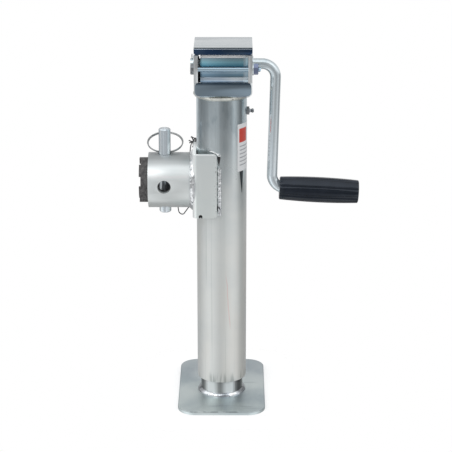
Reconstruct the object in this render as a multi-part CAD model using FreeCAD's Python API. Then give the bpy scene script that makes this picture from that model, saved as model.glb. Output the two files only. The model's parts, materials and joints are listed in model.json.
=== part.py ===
import FreeCAD, Part
import math
import os

# Swivel trailer jack in millimetres. The origin is on the floor under the housing tube's axis.
# X points to the crank side, Y to the back and Z up. The leg is drawn fully in.

V = FreeCAD.Vector

# Foot plate
foot_width = 107.0
foot_front = 74.0
foot_back = 94.0
foot_thickness = 4.5
foot_corner = 22.0
foot_edge_round = 0.8
foot_weld_size = 3.6

# Leg tube, and the stretch of it that stays inside when it is fully out
leg_wall = 3.2
leg_length = 325.0
leg_kept_inside = 71.0

# Housing tube
tube_od = 60.3
tube_wall = 3.9
tube_length = 362.0
leg_show = 19.5

# Head bracket
head_width = 68.5
head_overhang = 3.15
head_plate = 4.8
head_height = 57.5
head_shift = 2.0
head_bend = 6.5
lip_side = 1.25
lip_lift = 2.8
lip_rise = 18.4
lip_corner = 4.5
lip_bend = 5.0
fold_gap = 0.3
head_weld_size = 4.0

# Covers over the gears
cover_plate = 2.5
cover_lip = 8.2
cover_bend = 3.0
cover_corner = 3.5
gear_cover_sheet = 1.2
gear_cover_side_gap = 2.8
gear_cover_inset = 9.9
gear_cover_rise = 45.4
gear_cover_bend = 3.5
gear_cover_kick_foot = 18.9
gear_cover_kick_top = 23.3

# Through bolt
bolt_d = 6.35
bolt_inset = 6.3
bolt_rise = 33.5
bolt_head_height = 4.0
bolt_flats = 1.75 * bolt_d
bolt_nut_height = 5.5
bolt_spare = 3.0
bolt_washer_od = 2.2 * bolt_d
bolt_washer_thickness = 1.4

# Crank shaft and handle
shaft_d = 12.7
shaft_rise = 34.5
crank_radius = 152.7
crank_arm_x = 64.4
crank_lean = 1.5
crank_top_bend = 16.0
crank_low_bend = 17.0
grip_droop = 2.8
grip_start = 9.4
grip_length = 95.5
grip_end_d = 27.6
grip_mid_d = 30.8
grip_flutes = 8
grip_flute_depth = 0.9
grip_wall_end = 4.0
grip_round = 1.6
bush_wall = 1.65
bush_flange_step = 0.8
bush_flange = 1.2
shaft_washer_wall = 2.65
shaft_washer_thickness = 1.2
cotter_d = 2.2
cotter_eye = 5.4
cotter_foot = 2.5
cotter_leg = 4.5
shaft_end_spare = 1.9

# Bevel gears
gear_module = 2.0
gear_teeth = 20
pinion_teeth = 12
gear_face = 7.0
gear_addendum = 0.85
gear_dedendum = 1.15
pressure_angle = 20.0
gear_backlash = 0.30
gear_rim = 2.4
gear_hub_d = 26.0
pinion_hub_d = 22.0
pin_d = 4.8
gear_pin_lift = 1.6
pinion_pin_inset = 1.4

# Lead screw, nut and thrust bearing
screw_d = 19.0
journal_step = 1.55
screw_floor_gap = 32.0
nut_height = 22.0
nut_flange = 3.0
nut_flange_inset = 0.6
gear_washer_od = 30.0
gear_washer_thickness = 1.5
ball_d = 4.76
ball_count = 10
ball_circle_d = 30.0
race_od = 40.0
race_thickness = 2.2
race_gap = 3.0
cage_inset = 1.0
cage_thickness = 1.4
collar_d = 32.0
collar_height = 4.0
stop_od = 30.0
stop_thickness = 3.0

# Saddle bracket and swivel
saddle_height = 79.0
saddle_low = 239.0
saddle_plate = 4.3
saddle_bend = 6.5
saddle_corner = 4.0
saddle_stop = 5.4
saddle_notch_d = 4.6
saddle_notch_reach = 25.0
saddle_weld_length = 63.0
saddle_weld_lift = 5.0
saddle_weld_place = 2.6
saddle_weld_size = 3.1
sleeve_od = 66.7
sleeve_wall = 6.6
sleeve_length = 53.5
sleeve_weld_size = 3.6
swivel_rise = 38.5
stub_wall = 6.3
stub_shoulder = 0.75
stub_show = 10.8
stub_teeth = 6
stub_notch_depth = 2.0
stub_notch_angle = 26.0
snap_ring_width = 1.3
snap_ring_stand = 0.9
snap_ring_gap = 6.0
snap_ring_inset = 7.0
snap_groove_depth = 1.2

# Lock pin and ring
lock_pin_d = 14.3
lock_pin_play = 0.8
lock_pin_place = 19.6
lock_pin_up = 64.0
lock_pin_down = 40.3
lock_pin_chamfer = 1.2
lock_pin_round = 2.4
ring_d = 42.5
ring_wire_d = 2.8
ring_elbow = 1.55
ring_tilt = 20.0

# Grease fitting
fitting_drop = 22.5
fitting_flats = 8.7
fitting_hex = 3.2
fitting_length = 8.3
fitting_shank_d = 5.2
fitting_neck_d = 3.4
fitting_tip_d = 3.2
fitting_seat = 0.25

# Tie wire
tie_wire_d = 1.3
tie_wire_stand = 1.5

# Clearances
shaft_clearance = 0.08
thread_clearance = 0.08
tube_clearance = 0.4
swivel_clearance = 0.4
bolt_clearance = 0.3
side_clearance = 0.2
seat_clearance = 0.3
ball_clearance = 0.07
saddle_clearance = 0.05

# Sizes that follow the ones above
leg_od = tube_od - 2 * (tube_wall + tube_clearance)
head_depth = tube_od + 2 * head_overhang
lip_width = head_width - 2 * lip_side
bush_od = shaft_d + 2 * bush_wall
bush_flange_od = bush_od + 2 * bush_flange_step
shaft_washer_od = shaft_d + 2 * shaft_washer_wall
journal_d = screw_d - 2 * journal_step
saddle_reach = tube_od / 2 + saddle_clearance + saddle_plate
sleeve_id = sleeve_od - 2 * sleeve_wall
stub_od = sleeve_id - 2 * swivel_clearance
stub_end_od = stub_od + 2 * stub_shoulder
snap_ring_od = sleeve_id + 2 * snap_ring_stand
pin_hole_d = lock_pin_d + 2 * lock_pin_play
ring_straight = lock_pin_d + 2 * ring_elbow
snap_groove_r = stub_od / 2 - snap_groove_depth

# Places worked out from the sizes above
leg_bottom = foot_thickness
leg_top = leg_bottom + leg_length
travel = leg_length - leg_kept_inside
tube_bottom = foot_thickness + leg_show
tube_top = tube_bottom + tube_length
web_bottom = tube_top
web_top = web_bottom + head_plate
head_top = web_bottom + head_height
shaft_z = web_bottom + shaft_rise
half_depth = head_depth / 2
head_left = head_shift - head_width / 2
head_right = head_shift + head_width / 2
lip_bottom = web_bottom + lip_lift
lip_top = web_bottom + lip_rise
cover_top = head_top + cover_plate
pinion_r = gear_module * pinion_teeth / 2
gear_r = gear_module * gear_teeth / 2
cone_length = math.hypot(pinion_r, gear_r)
screw_bottom = leg_top - nut_height - travel - screw_floor_gap + foot_thickness
bearing_top = web_bottom
collar_top = bearing_top - 2 * race_thickness - race_gap
swivel_z = saddle_low + swivel_rise
sleeve_left = -saddle_reach - sleeve_length
web_inner_x = -saddle_reach + saddle_plate
pin_x = sleeve_left + lock_pin_place
bolt_y = -half_depth + bolt_inset
bolt_z = web_bottom + bolt_rise
fitting_z = tube_top - fitting_drop
saddle_top = saddle_low + saddle_height
snap_groove_x = -saddle_reach - snap_ring_inset
ring_hole_z = swivel_z + sleeve_od / 2 + seat_clearance + ring_wire_d / 2


# Basic solids
def block(x0, x1, y0, y1, z0, z1):
    return Part.makeBox(x1 - x0, y1 - y0, z1 - z0, V(x0, y0, z0))


def rod(radius, start, end):
    way = V(*end) - V(*start)
    return Part.makeCylinder(radius, way.Length, V(*start), way)


def ring(outer, inner, start, end):
    return rod(outer, start, end).cut(rod(inner, start, end))


def hexagon(flats, start, end):
    # A hexagonal bar from start to end
    way = V(*end) - V(*start)
    radius = flats / math.sqrt(3)
    points = [V(radius * math.cos(a), radius * math.sin(a), 0) for a in (i * math.pi / 3 for i in range(7))]
    bar = Part.Face(Part.makePolygon(points)).extrude(V(0, 0, way.Length))
    bar.Placement = FreeCAD.Placement(V(*start), FreeCAD.Rotation(V(0, 0, 1), way))
    return bar


def revolved(points, centre=V(0, 0, 0), axis=V(0, 0, 1)):
    # Turns a closed outline of (radius, height) points round the axis
    outline = Part.makePolygon([V(r, 0, h) for r, h in points + points[:1]])
    solid = Part.Face(outline).revolve(V(0, 0, 0), V(0, 0, 1), 360)
    solid.Placement = FreeCAD.Placement(centre, FreeCAD.Rotation(V(0, 0, 1), axis))
    return solid


def round_edges(shape, radius, wanted):
    # Rounds the edges for which wanted(start, end) is true
    picked = [e for e in shape.Edges if len(e.Vertexes) == 2
              and wanted(e.Vertexes[0].Point, e.Vertexes[1].Point)]
    return shape.makeFillet(radius, picked)


def along(axis):
    # True for a straight edge that runs along the given axis
    def test(a, b):
        way = b - a
        across = [abs(way.x), abs(way.y), abs(way.z)]
        return across.pop("xyz".index(axis)) > 0.01 and max(across) < 0.01
    return test


def swept(points, radii, radius, closed=False):
    # A round bar along straight runs joined by tangent arcs
    corners = [V(*p) for p in points]
    count = len(corners)
    edges = []
    last = None if closed else corners[0]
    first = None
    for i in (range(count) if closed else range(1, count - 1)):
        here = corners[i]
        back = (corners[i - 1] - here).normalize()
        on = (corners[(i + 1) % count] - here).normalize()
        half_turn = (math.pi - back.getAngle(on)) / 2
        reach = radii[i if closed else i - 1] * math.tan(half_turn)
        start = here + back * reach
        end = here + on * reach
        inward = (back + on).normalize()
        centre_gap = radii[i if closed else i - 1] / math.cos(half_turn)
        middle = here + inward * (centre_gap - radii[i if closed else i - 1])
        if last is not None:
            edges.append(Part.LineSegment(last, start).toShape())
        else:
            first = start
        edges.append(Part.Arc(start, middle, end).toShape())
        last = end
    edges.append(Part.LineSegment(last, first if closed else corners[-1]).toShape())
    path = Part.Wire(edges)
    way = edges[0].tangentAt(edges[0].FirstParameter)
    profile = Part.Wire(Part.makeCircle(radius, edges[0].valueAt(edges[0].FirstParameter), way))
    return path.makePipeShell([profile], True, False)


# Foot and leg
def foot_plate():
    plate = block(-foot_width / 2, foot_width / 2, -foot_front, foot_back, 0, foot_thickness)
    plate = round_edges(plate, foot_corner, along("z"))
    rim = [e for e in plate.Edges if e.BoundBox.ZMin > foot_thickness - 0.01]
    return plate.makeFillet(foot_edge_round, rim)


def foot_weld():
    r = leg_od / 2
    low = foot_thickness
    toe = foot_weld_size
    points = [(r, low), (r + toe, low), (r + toe * 0.72, low + toe * 0.5), (r + toe * 0.4, low + toe * 0.82),
              (r, low + toe * 1.15)]
    return revolved(points)


def leg_tube():
    return ring(leg_od / 2, leg_od / 2 - leg_wall, (0, 0, leg_bottom), (0, 0, leg_top))


def lead_nut():
    body = rod(leg_od / 2 - leg_wall, (0, 0, leg_top - nut_height), (0, 0, leg_top))
    flange = rod(leg_od / 2 - nut_flange_inset, (0, 0, leg_top), (0, 0, leg_top + nut_flange))
    low = leg_top - nut_height
    high = leg_top + nut_flange
    bore = rod(screw_d / 2 + thread_clearance, (0, 0, low - 1), (0, 0, high + 1))
    return body.fuse(flange).cut(bore).removeSplitter()


# Housing
def housing_tube():
    tube = ring(tube_od / 2, tube_od / 2 - tube_wall, (0, 0, tube_bottom), (0, 0, tube_top))
    return tube.cut(rod(fitting_shank_d / 2, (0, 0, fitting_z), (tube_od, 0, fitting_z)))


def grease_fitting():
    z = fitting_z
    face = tube_od / 2 - fitting_seat
    hexed = face + fitting_hex
    reach = tube_od / 2 + fitting_length - hexed
    wide = fitting_shank_d / 2
    neck = fitting_neck_d / 2
    hex_part = hexagon(fitting_flats, (face, 0, z), (hexed, 0, z)).cut(housing_tube())
    shank = rod(wide, (tube_od / 2 - tube_wall, 0, z), (hexed, 0, z))
    nipple = [(0, 0), (wide, 0), (neck, reach * 0.37), (wide, reach * 0.55), (wide, reach * 0.83),
              (fitting_tip_d / 2, reach), (0, reach)]
    return hex_part.fuse([shank, revolved(nipple, V(hexed, 0, z), V(1, 0, 0))]).removeSplitter()


# Head
def head_fold(side):
    # The front or back lip with its bend
    y_out = side * half_depth
    y_in = side * (half_depth - head_plate)
    y_flat = side * (half_depth - head_plate - lip_bend)
    flat = head_width / 2 - head_bend
    low, high = sorted((y_out, y_flat))
    bend = block(head_shift - flat, head_shift + flat, low, high, web_bottom, lip_top)
    bend = round_edges(bend, lip_bend, lambda a, b: along("x")(a, b) and abs(a.y - y_out) < 0.01
                       and abs(a.z - web_bottom) < 0.01)
    low, high = sorted((y_in, y_flat - side))
    bend = bend.cut(block(head_left, head_right, low, high, web_top, lip_top + 1))
    low, high = sorted((y_out, y_in))
    lip = block(head_shift - lip_width / 2, head_shift + lip_width / 2, low, high, lip_bottom, lip_top)
    lip = round_edges(lip, lip_corner, along("y"))
    return bend.fuse(lip)


def head_bracket():
    body = block(head_left, head_right, -half_depth, half_depth, web_bottom, head_top)
    body = round_edges(body, head_bend, lambda a, b: along("y")(a, b) and a.z < web_bottom + 0.01)
    inside = block(head_left + head_plate, head_right - head_plate, -half_depth, half_depth,
                   web_top, head_top + 1)
    inside = round_edges(inside, head_bend - head_plate,
                         lambda a, b: along("y")(a, b) and a.z < web_top + 0.01)
    body = body.cut(inside)
    for side in (-1, 1):
        fold_y = side * (half_depth - head_plate - fold_gap)
        low, high = sorted((fold_y, side * (half_depth + 1)))
        body = body.cut(block(head_left - 1, head_right + 1, low, high, web_bottom - 1, lip_top + fold_gap))
        top_y = side * (half_depth - cover_plate - fold_gap)
        low, high = sorted((top_y, side * (half_depth + 1)))
        foot = cover_top - cover_lip - fold_gap
        body = body.cut(block(head_left - 1, head_right + 1, low, high, foot, head_top + 1))
    body = body.fuse([head_fold(-1), head_fold(1)])
    cuts = [rod(journal_d / 2 + bolt_clearance, (0, 0, web_bottom - 1), (0, 0, web_top + 1)),
            rod(bush_od / 2, (head_left - 1, 0, shaft_z), (head_right + 1, 0, shaft_z)),
            rod(bolt_d / 2 + bolt_clearance, (head_left - 1, bolt_y, bolt_z),
                (head_right + 1, bolt_y, bolt_z))]
    return body.cut(cuts).removeSplitter()


def head_weld():
    r = tube_od / 2
    z = tube_top
    s = head_weld_size
    points = [(r, z), (r + s * 0.8, z), (r + s * 0.75, z - s * 0.45), (r + s * 0.35, z - s * 0.95),
              (r, z - s * 1.2)]
    return revolved(points).cut(head_bracket())


def top_cover():
    shell = block(head_left, head_right, -half_depth, half_depth, cover_top - cover_lip, cover_top)
    shell = round_edges(shell, cover_bend, lambda a, b: along("x")(a, b) and a.z > cover_top - 0.01)
    inner = half_depth - cover_plate
    shell = shell.cut(block(head_left - 1, head_right + 1, -inner, inner, 0, head_top))
    return round_edges(shell, cover_corner, lambda a, b: along("y")(a, b) and a.z < head_top - 1)


def gear_cover():
    # A folded sheet over the gears, with its feet kicked out to the lips
    x0 = head_left + head_plate + gear_cover_side_gap
    x1 = head_right - head_plate - side_clearance
    foot = half_depth - head_plate - 2 * fold_gap
    wall = half_depth - gear_cover_inset
    bend = head_bend - head_plate
    half = [(foot, web_top - 3 * gear_cover_sheet), (foot, web_bottom + gear_cover_kick_foot),
            (wall, web_bottom + gear_cover_kick_top), (wall, web_top + gear_cover_rise)]
    outline = half + [(-y, z) for y, z in reversed(half)]
    points = [V(x0, y, z) for y, z in outline + outline[:1]]
    form = Part.Face(Part.makePolygon(points)).extrude(V(x1 - x0, 0, 0))
    form = round_edges(form, gear_cover_bend,
                       lambda a, b: along("x")(a, b) and a.z > web_top + gear_cover_rise - 0.1)
    end = [f for f in form.Faces if f.BoundBox.XMax < x0 + 0.01][0]
    core = end.makeOffset2D(-gear_cover_sheet).extrude(V(x1 - x0, 0, 0))
    cuts = [core, block(x0 - 1, x1 + 1, -half_depth, half_depth, 0, web_top),
            block(x1 - bend, x1 + 1, -half_depth, half_depth, 0, web_top + bend)]
    return form.cut(cuts)


# Through bolt
def cover_bolt():
    y = bolt_y
    z = bolt_z
    end = head_right + bolt_washer_thickness + bolt_nut_height + bolt_spare
    head = hexagon(bolt_flats, (head_left - bolt_head_height, y, z), (head_left, y, z))
    return head.fuse(rod(bolt_d / 2, (head_left - 1, y, z), (end, y, z))).removeSplitter()


def bolt_washer():
    return ring(bolt_washer_od / 2, bolt_d / 2 + thread_clearance, (head_right, bolt_y, bolt_z),
                (head_right + bolt_washer_thickness, bolt_y, bolt_z))


def cover_nut():
    y = bolt_y
    z = bolt_z
    start = head_right + bolt_washer_thickness
    nut = hexagon(bolt_flats, (start, y, z), (start + bolt_nut_height, y, z))
    return nut.cut(rod(bolt_d / 2, (start - 1, y, z), (start + bolt_nut_height + 1, y, z)))


# Crank
def bush(outside, inside_x):
    # A flanged bush from its flange side to its plain end
    way = 1 if inside_x > outside else -1
    flange_end = outside - way * bush_flange
    sleeve = rod(bush_od / 2, (outside, 0, shaft_z), (inside_x, 0, shaft_z))
    flange = rod(bush_flange_od / 2, (flange_end, 0, shaft_z), (outside, 0, shaft_z))
    bore = rod(shaft_d / 2 + shaft_clearance, (head_left * 2, 0, shaft_z), (head_right * 2, 0, shaft_z))
    return sleeve.fuse(flange).cut(bore).removeSplitter()


def shaft_bushing_left():
    # Its flange lies on the inner side of the left leg
    return bush(head_left + head_plate, head_left)


def shaft_bushing_right():
    # Its flange lies on the outer side of the right leg
    return bush(head_right, head_right - head_plate)


def cotter_x():
    return head_left - side_clearance - shaft_washer_thickness - side_clearance - cotter_d / 2


def shaft_end_x():
    return cotter_x() - shaft_end_spare


def crank_corner():
    lean = crank_radius * math.tan(math.radians(crank_lean))
    return crank_arm_x - lean, shaft_z - crank_radius


def grip_frame(distance):
    # The point on the grip rod that far from the lower corner, along its drooping axis
    x, z = crank_corner()
    droop = math.radians(grip_droop)
    return (x + distance * math.cos(droop), 0, z - distance * math.sin(droop))


def crank_handle():
    x, z = crank_corner()
    rod_end = grip_start + grip_length - grip_wall_end - 2
    points = [(shaft_end_x(), 0, shaft_z), (crank_arm_x, 0, shaft_z), (x, 0, z), grip_frame(rod_end)]
    bar = swept(points, [crank_top_bend, crank_low_bend], shaft_d / 2)
    hole = rod(cotter_d / 2, (cotter_x(), 0, shaft_z - shaft_d), (cotter_x(), 0, shaft_z + shaft_d))
    pin_place = pinion_pin_x()
    hole_pin = rod(pin_d / 2, (pin_place, -shaft_d, shaft_z), (pin_place, shaft_d, shaft_z))
    return bar.cut([hole, hole_pin])


def shaft_washer():
    start = head_left - side_clearance
    return ring(shaft_washer_od / 2, shaft_d / 2 + shaft_clearance, (start, 0, shaft_z),
                (start - shaft_washer_thickness, 0, shaft_z))


def cotter_pin():
    # A split pin with its eye on top and its legs bent apart below
    x = cotter_x()
    reach = shaft_d / 2
    stem = rod(cotter_d / 2, (x, 0, shaft_z - reach - cotter_foot), (x, 0, shaft_z + reach + cotter_d / 4))
    eye_r = cotter_eye / 2
    eye = Part.makeTorus(eye_r - cotter_d / 4, cotter_d / 4, V(x, 0, shaft_z + reach + eye_r), V(1, 0, 0))
    foot = shaft_z - reach - cotter_foot + cotter_d / 4
    legs = [rod(cotter_d / 4, (x, 0, foot), (x, way * cotter_leg, foot - cotter_d / 4)) for way in (-1, 1)]
    return stem.fuse([eye] + legs)


def grip():
    # A barrel with wide flutes, built from scaled sections along its length
    steps = 6
    length = grip_length
    sections = []
    for i in range(steps + 1):
        t = i / steps
        bulge = 1 - (2 * t - 1) ** 2
        radius = grip_end_d / 2 + (grip_mid_d - grip_end_d) / 2 * bulge
        edges = []
        for k in range(grip_flutes):
            a0 = 2 * math.pi * k / grip_flutes
            turn = 2 * math.pi / grip_flutes
            ridge, dip = 0.26 * turn, 0.63 * turn
            land = [V(radius * math.cos(a), radius * math.sin(a), t * length)
                    for a in (a0, a0 + ridge / 2, a0 + ridge)]
            low = radius - grip_flute_depth
            dip_point = V(low * math.cos(a0 + dip), low * math.sin(a0 + dip), t * length)
            after = V(radius * math.cos(a0 + turn), radius * math.sin(a0 + turn), t * length)
            edges.append(Part.Arc(*land).toShape())
            edges.append(Part.Arc(land[2], dip_point, after).toShape())
        sections.append(Part.Wire(edges))
    barrel = Part.makeLoft(sections, True, True)
    keep = rod(grip_mid_d / 2 + 1, (0, 0, 0), (0, 0, length))
    rim = [e for e in keep.Edges if abs(e.BoundBox.ZMax - e.BoundBox.ZMin) < 0.01]
    keep = keep.makeChamfer(grip_round + (grip_mid_d - grip_end_d) / 2, rim)
    barrel = barrel.common(keep)
    barrel = barrel.cut(rod(shaft_d / 2 + shaft_clearance, (0, 0, -1), (0, 0, length - grip_wall_end)))
    start = V(*grip_frame(grip_start))
    way = V(*grip_frame(grip_start + 1)) - start
    barrel.Placement = FreeCAD.Placement(start, FreeCAD.Rotation(V(0, 0, 1), way))
    return barrel


# Bevel gears, drawn with the cone's tip at the origin and the gear along +Z
def tooth_space(teeth, mate):
    pitch_r = gear_module * teeth / 2
    cone = math.atan2(teeth, mate)
    virtual_r = pitch_r / math.cos(cone)
    virtual_teeth = teeth / math.cos(cone)
    angle = math.radians(pressure_angle)
    base_r = virtual_r * math.cos(angle)
    flank0 = math.tan(angle) - angle
    half_tooth = math.pi / virtual_teeth / 2 - gear_backlash / 4 / virtual_r
    root_r = virtual_r - gear_dedendum * gear_module
    tip_r = virtual_r + gear_addendum * gear_module
    outline = []
    for rho in (root_r, max(root_r + 0.4, base_r), virtual_r, (virtual_r + tip_r) / 2, tip_r,
                tip_r + gear_module):
        work = min(rho, tip_r)
        roll = math.acos(min(1.0, base_r / work))
        half = half_tooth + flank0 - (math.tan(roll) - roll)
        outline.append((rho, math.pi / virtual_teeth - half))
    sides = [(rho, -a) for rho, a in outline] + [(rho, a) for rho, a in reversed(outline)]
    tip_height = cone_length / math.cos(cone)
    normal = V(math.sin(cone), 0, math.cos(cone))

    def polygon(distance):
        points = []
        for rho, a in sides:
            turn = a / math.cos(cone)
            flat_r = rho * math.cos(cone)
            ray = V(flat_r * math.cos(turn), flat_r * math.sin(turn), tip_height - rho * math.sin(cone))
            points.append(ray * (distance / ray.dot(normal)))
        return Part.makePolygon(points + points[:1])

    return Part.makeLoft([polygon(cone_length * 0.4), polygon(cone_length * 1.35)], True, True)


def bevel_gear(teeth, mate, hub_d, hub_end, bore_d, turn0):
    pitch_r = gear_module * teeth / 2
    cone = math.atan2(teeth, mate)
    pitch_z = cone_length * math.cos(cone)
    toe = (cone_length - gear_face) / cone_length
    up = gear_addendum * gear_module
    down = gear_dedendum * gear_module
    tip = (pitch_r + up * math.cos(cone), pitch_z - up * math.sin(cone))
    root = (pitch_r - down * math.cos(cone), pitch_z + down * math.sin(cone))
    back = (root[0] - gear_rim * math.cos(cone), root[1] + gear_rim * math.sin(cone))
    toe_z = toe * root[1]
    points = [(bore_d / 2, toe_z), (toe * root[0], toe_z), (toe * tip[0], toe * tip[1]), tip, root, back,
              (hub_d / 2, back[1]), (hub_d / 2, hub_end), (bore_d / 2, hub_end)]
    blank = revolved(points)
    space = tooth_space(teeth, mate)
    cuts = []
    for k in range(teeth):
        one = space.copy()
        one.rotate(V(0, 0, 0), V(0, 0, 1), turn0 + 360 * k / teeth)
        cuts.append(one)
    return blank.cut(cuts)


def gear_pin_z():
    return web_top + gear_washer_thickness + side_clearance + pin_d / 2 + gear_pin_lift


def pinion_pin_x():
    return head_right - head_plate - side_clearance - pin_d / 2 - pinion_pin_inset


def screw_gear():
    hub_end = shaft_z - web_top - gear_washer_thickness - side_clearance
    gear = bevel_gear(gear_teeth, pinion_teeth, gear_hub_d, hub_end, journal_d, 0)
    gear.Placement = FreeCAD.Placement(V(0, 0, shaft_z), FreeCAD.Rotation(V(0, 1, 0), 180))
    z = gear_pin_z()
    return gear.cut(rod(pin_d / 2, (0, -gear_hub_d, z), (0, gear_hub_d, z)))


def screw_gear_pin():
    z = gear_pin_z()
    return rod(pin_d / 2, (0, -gear_hub_d / 2, z), (0, gear_hub_d / 2, z))


def pinion():
    hub_end = head_right - head_plate - side_clearance
    half_pitch = 180 / pinion_teeth
    gear = bevel_gear(pinion_teeth, gear_teeth, pinion_hub_d, hub_end, shaft_d, half_pitch)
    gear.Placement = FreeCAD.Placement(V(0, 0, shaft_z), FreeCAD.Rotation(V(0, 1, 0), 90))
    x = pinion_pin_x()
    return gear.cut(rod(pin_d / 2, (x, -pinion_hub_d, shaft_z), (x, pinion_hub_d, shaft_z)))


def pinion_pin():
    x = pinion_pin_x()
    return rod(pin_d / 2, (x, -pinion_hub_d / 2, shaft_z), (x, pinion_hub_d / 2, shaft_z))


# Screw and thrust bearing
def lead_screw():
    cone = math.atan2(gear_teeth, pinion_teeth)
    toe = (cone_length - gear_face) / cone_length
    root_drop = cone_length * math.cos(cone) + gear_dedendum * gear_module * math.sin(cone)
    journal_top = shaft_z - toe * root_drop
    low = rod(screw_d / 2, (0, 0, screw_bottom), (0, 0, collar_top))
    collar = rod(collar_d / 2, (0, 0, collar_top - collar_height), (0, 0, collar_top))
    journal = rod(journal_d / 2, (0, 0, collar_top - 1), (0, 0, journal_top))
    screw = low.fuse([collar, journal]).removeSplitter()
    z = gear_pin_z()
    hole = rod(pin_d / 2, (0, -gear_hub_d, z), (0, gear_hub_d, z))
    stop_hole = rod(pin_d / 2, (0, -screw_d, screw_bottom + pin_d), (0, screw_d, screw_bottom + pin_d))
    return screw.cut([hole, stop_hole])


def screw_stop():
    # A washer on the screw's foot, held up by a cross pin
    z = screw_bottom + pin_d
    washer = ring(stop_od / 2, screw_d / 2, (0, 0, z + pin_d / 2), (0, 0, z + pin_d / 2 + stop_thickness))
    return washer.fuse(rod(pin_d / 2, (0, -stop_od / 2 + 1, z), (0, stop_od / 2 - 1, z)))


def ball_track():
    z = bearing_top - race_thickness - race_gap / 2
    return Part.makeTorus(ball_circle_d / 2, ball_d / 2 + ball_clearance, V(0, 0, z))


def bearing_race_fixed():
    low = bearing_top - race_thickness
    race = ring(race_od / 2, journal_d / 2 + bolt_clearance, (0, 0, low), (0, 0, bearing_top))
    return race.cut(ball_track())


def bearing_race_turning():
    race = ring(race_od / 2, journal_d / 2, (0, 0, collar_top), (0, 0, collar_top + race_thickness))
    return race.cut(ball_track())


def bearing_balls():
    # The balls in their cage
    z = bearing_top - race_thickness - race_gap / 2
    r = ball_circle_d / 2
    half = cage_thickness / 2
    cage = ring(race_od / 2 - cage_inset, journal_d / 2 + bolt_clearance + cage_inset, (0, 0, z - half),
                (0, 0, z + half))
    balls = []
    for k in range(ball_count):
        a = 2 * math.pi * k / ball_count
        balls.append(Part.makeSphere(ball_d / 2, V(r * math.cos(a), r * math.sin(a), z)))
    return cage.fuse(balls).removeSplitter()


def gear_washer():
    return ring(gear_washer_od / 2, journal_d / 2 + bolt_clearance, (0, 0, web_top),
                (0, 0, web_top + gear_washer_thickness))


# Saddle bracket and swivel
def saddle_bracket():
    inner_y = tube_od / 2 + saddle_clearance
    outer_y = inner_y + saddle_plate
    top = saddle_top
    body = block(-saddle_reach, -saddle_stop, -outer_y, outer_y, saddle_low, top)
    body = round_edges(body, saddle_bend, lambda a, b: along("z")(a, b) and a.x < -saddle_stop - 1)
    inside = block(web_inner_x, 1, -inner_y, inner_y, saddle_low - 1, top + 1)
    inside = round_edges(inside, saddle_bend - saddle_plate, lambda a, b: along("z")(a, b) and a.x < 0)
    body = body.cut(inside)
    body = round_edges(body, saddle_corner, lambda a, b: along("y")(a, b) and a.x > -saddle_stop - 1)
    hole = rod(sleeve_id / 2, (-saddle_reach - 1, 0, swivel_z), (web_inner_x + 1, 0, swivel_z))
    notch = rod(saddle_notch_d / 2, (-saddle_notch_reach, -outer_y - 1, saddle_low),
                (-saddle_notch_reach, outer_y + 1, saddle_low))
    return body.cut([hole, notch])


def saddle_weld():
    # A bead on the end of each bracket flange
    y = tube_od / 2
    low = saddle_low + saddle_weld_lift
    x = -saddle_weld_place
    bead_r = saddle_weld_size
    cuts = [saddle_bracket(), housing_tube(),
            rod(tube_od / 2 - 1, (0, 0, low - 9), (0, 0, low + saddle_height))]
    beads = []
    for side in (-1, 1):
        bead = rod(bead_r, (x, side * y, low), (x, side * y, low + saddle_weld_length))
        tips = [Part.makeSphere(bead_r, V(x, side * y, z)) for z in (low, low + saddle_weld_length)]
        beads.append(bead.fuse(tips).removeSplitter().cut(cuts))
    return Part.makeCompound([b for bead in beads for b in bead.Solids])


def swivel_sleeve():
    body = ring(sleeve_od / 2, sleeve_id / 2, (sleeve_left, 0, swivel_z), (-saddle_reach, 0, swivel_z))
    reach = sleeve_od
    start = snap_groove_x - side_clearance
    end = snap_groove_x + snap_ring_width + side_clearance
    groove = rod(snap_ring_od / 2 + side_clearance, (start, 0, swivel_z), (end, 0, swivel_z))
    cross = [rod(pin_hole_d / 2, (pin_x, 0, swivel_z - reach), (pin_x, 0, swivel_z + reach)),
             rod(pin_hole_d / 2, (pin_x, -reach, swivel_z), (pin_x, reach, swivel_z))]
    return body.cut([groove] + cross)


def sleeve_weld():
    r = sleeve_od / 2
    s = sleeve_weld_size
    points = [(r - 2, 2.5), (r + s, 2.5), (r + s, 0), (r + s * 0.8, -s * 0.55), (r + s * 0.35, -s * 0.95),
              (r, -s * 1.1), (r, 0), (r - 2, 0)]
    bead = revolved(points, V(-saddle_reach, 0, swivel_z), V(1, 0, 0))
    bead = bead.cut([saddle_bracket(), rod(r, (sleeve_left, 0, swivel_z), (-saddle_reach, 0, swivel_z)),
                     block(-saddle_reach, 9, -tube_od / 2, tube_od / 2, 0, tube_top)])
    return max(bead.Solids, key=lambda s: s.Volume)


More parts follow.
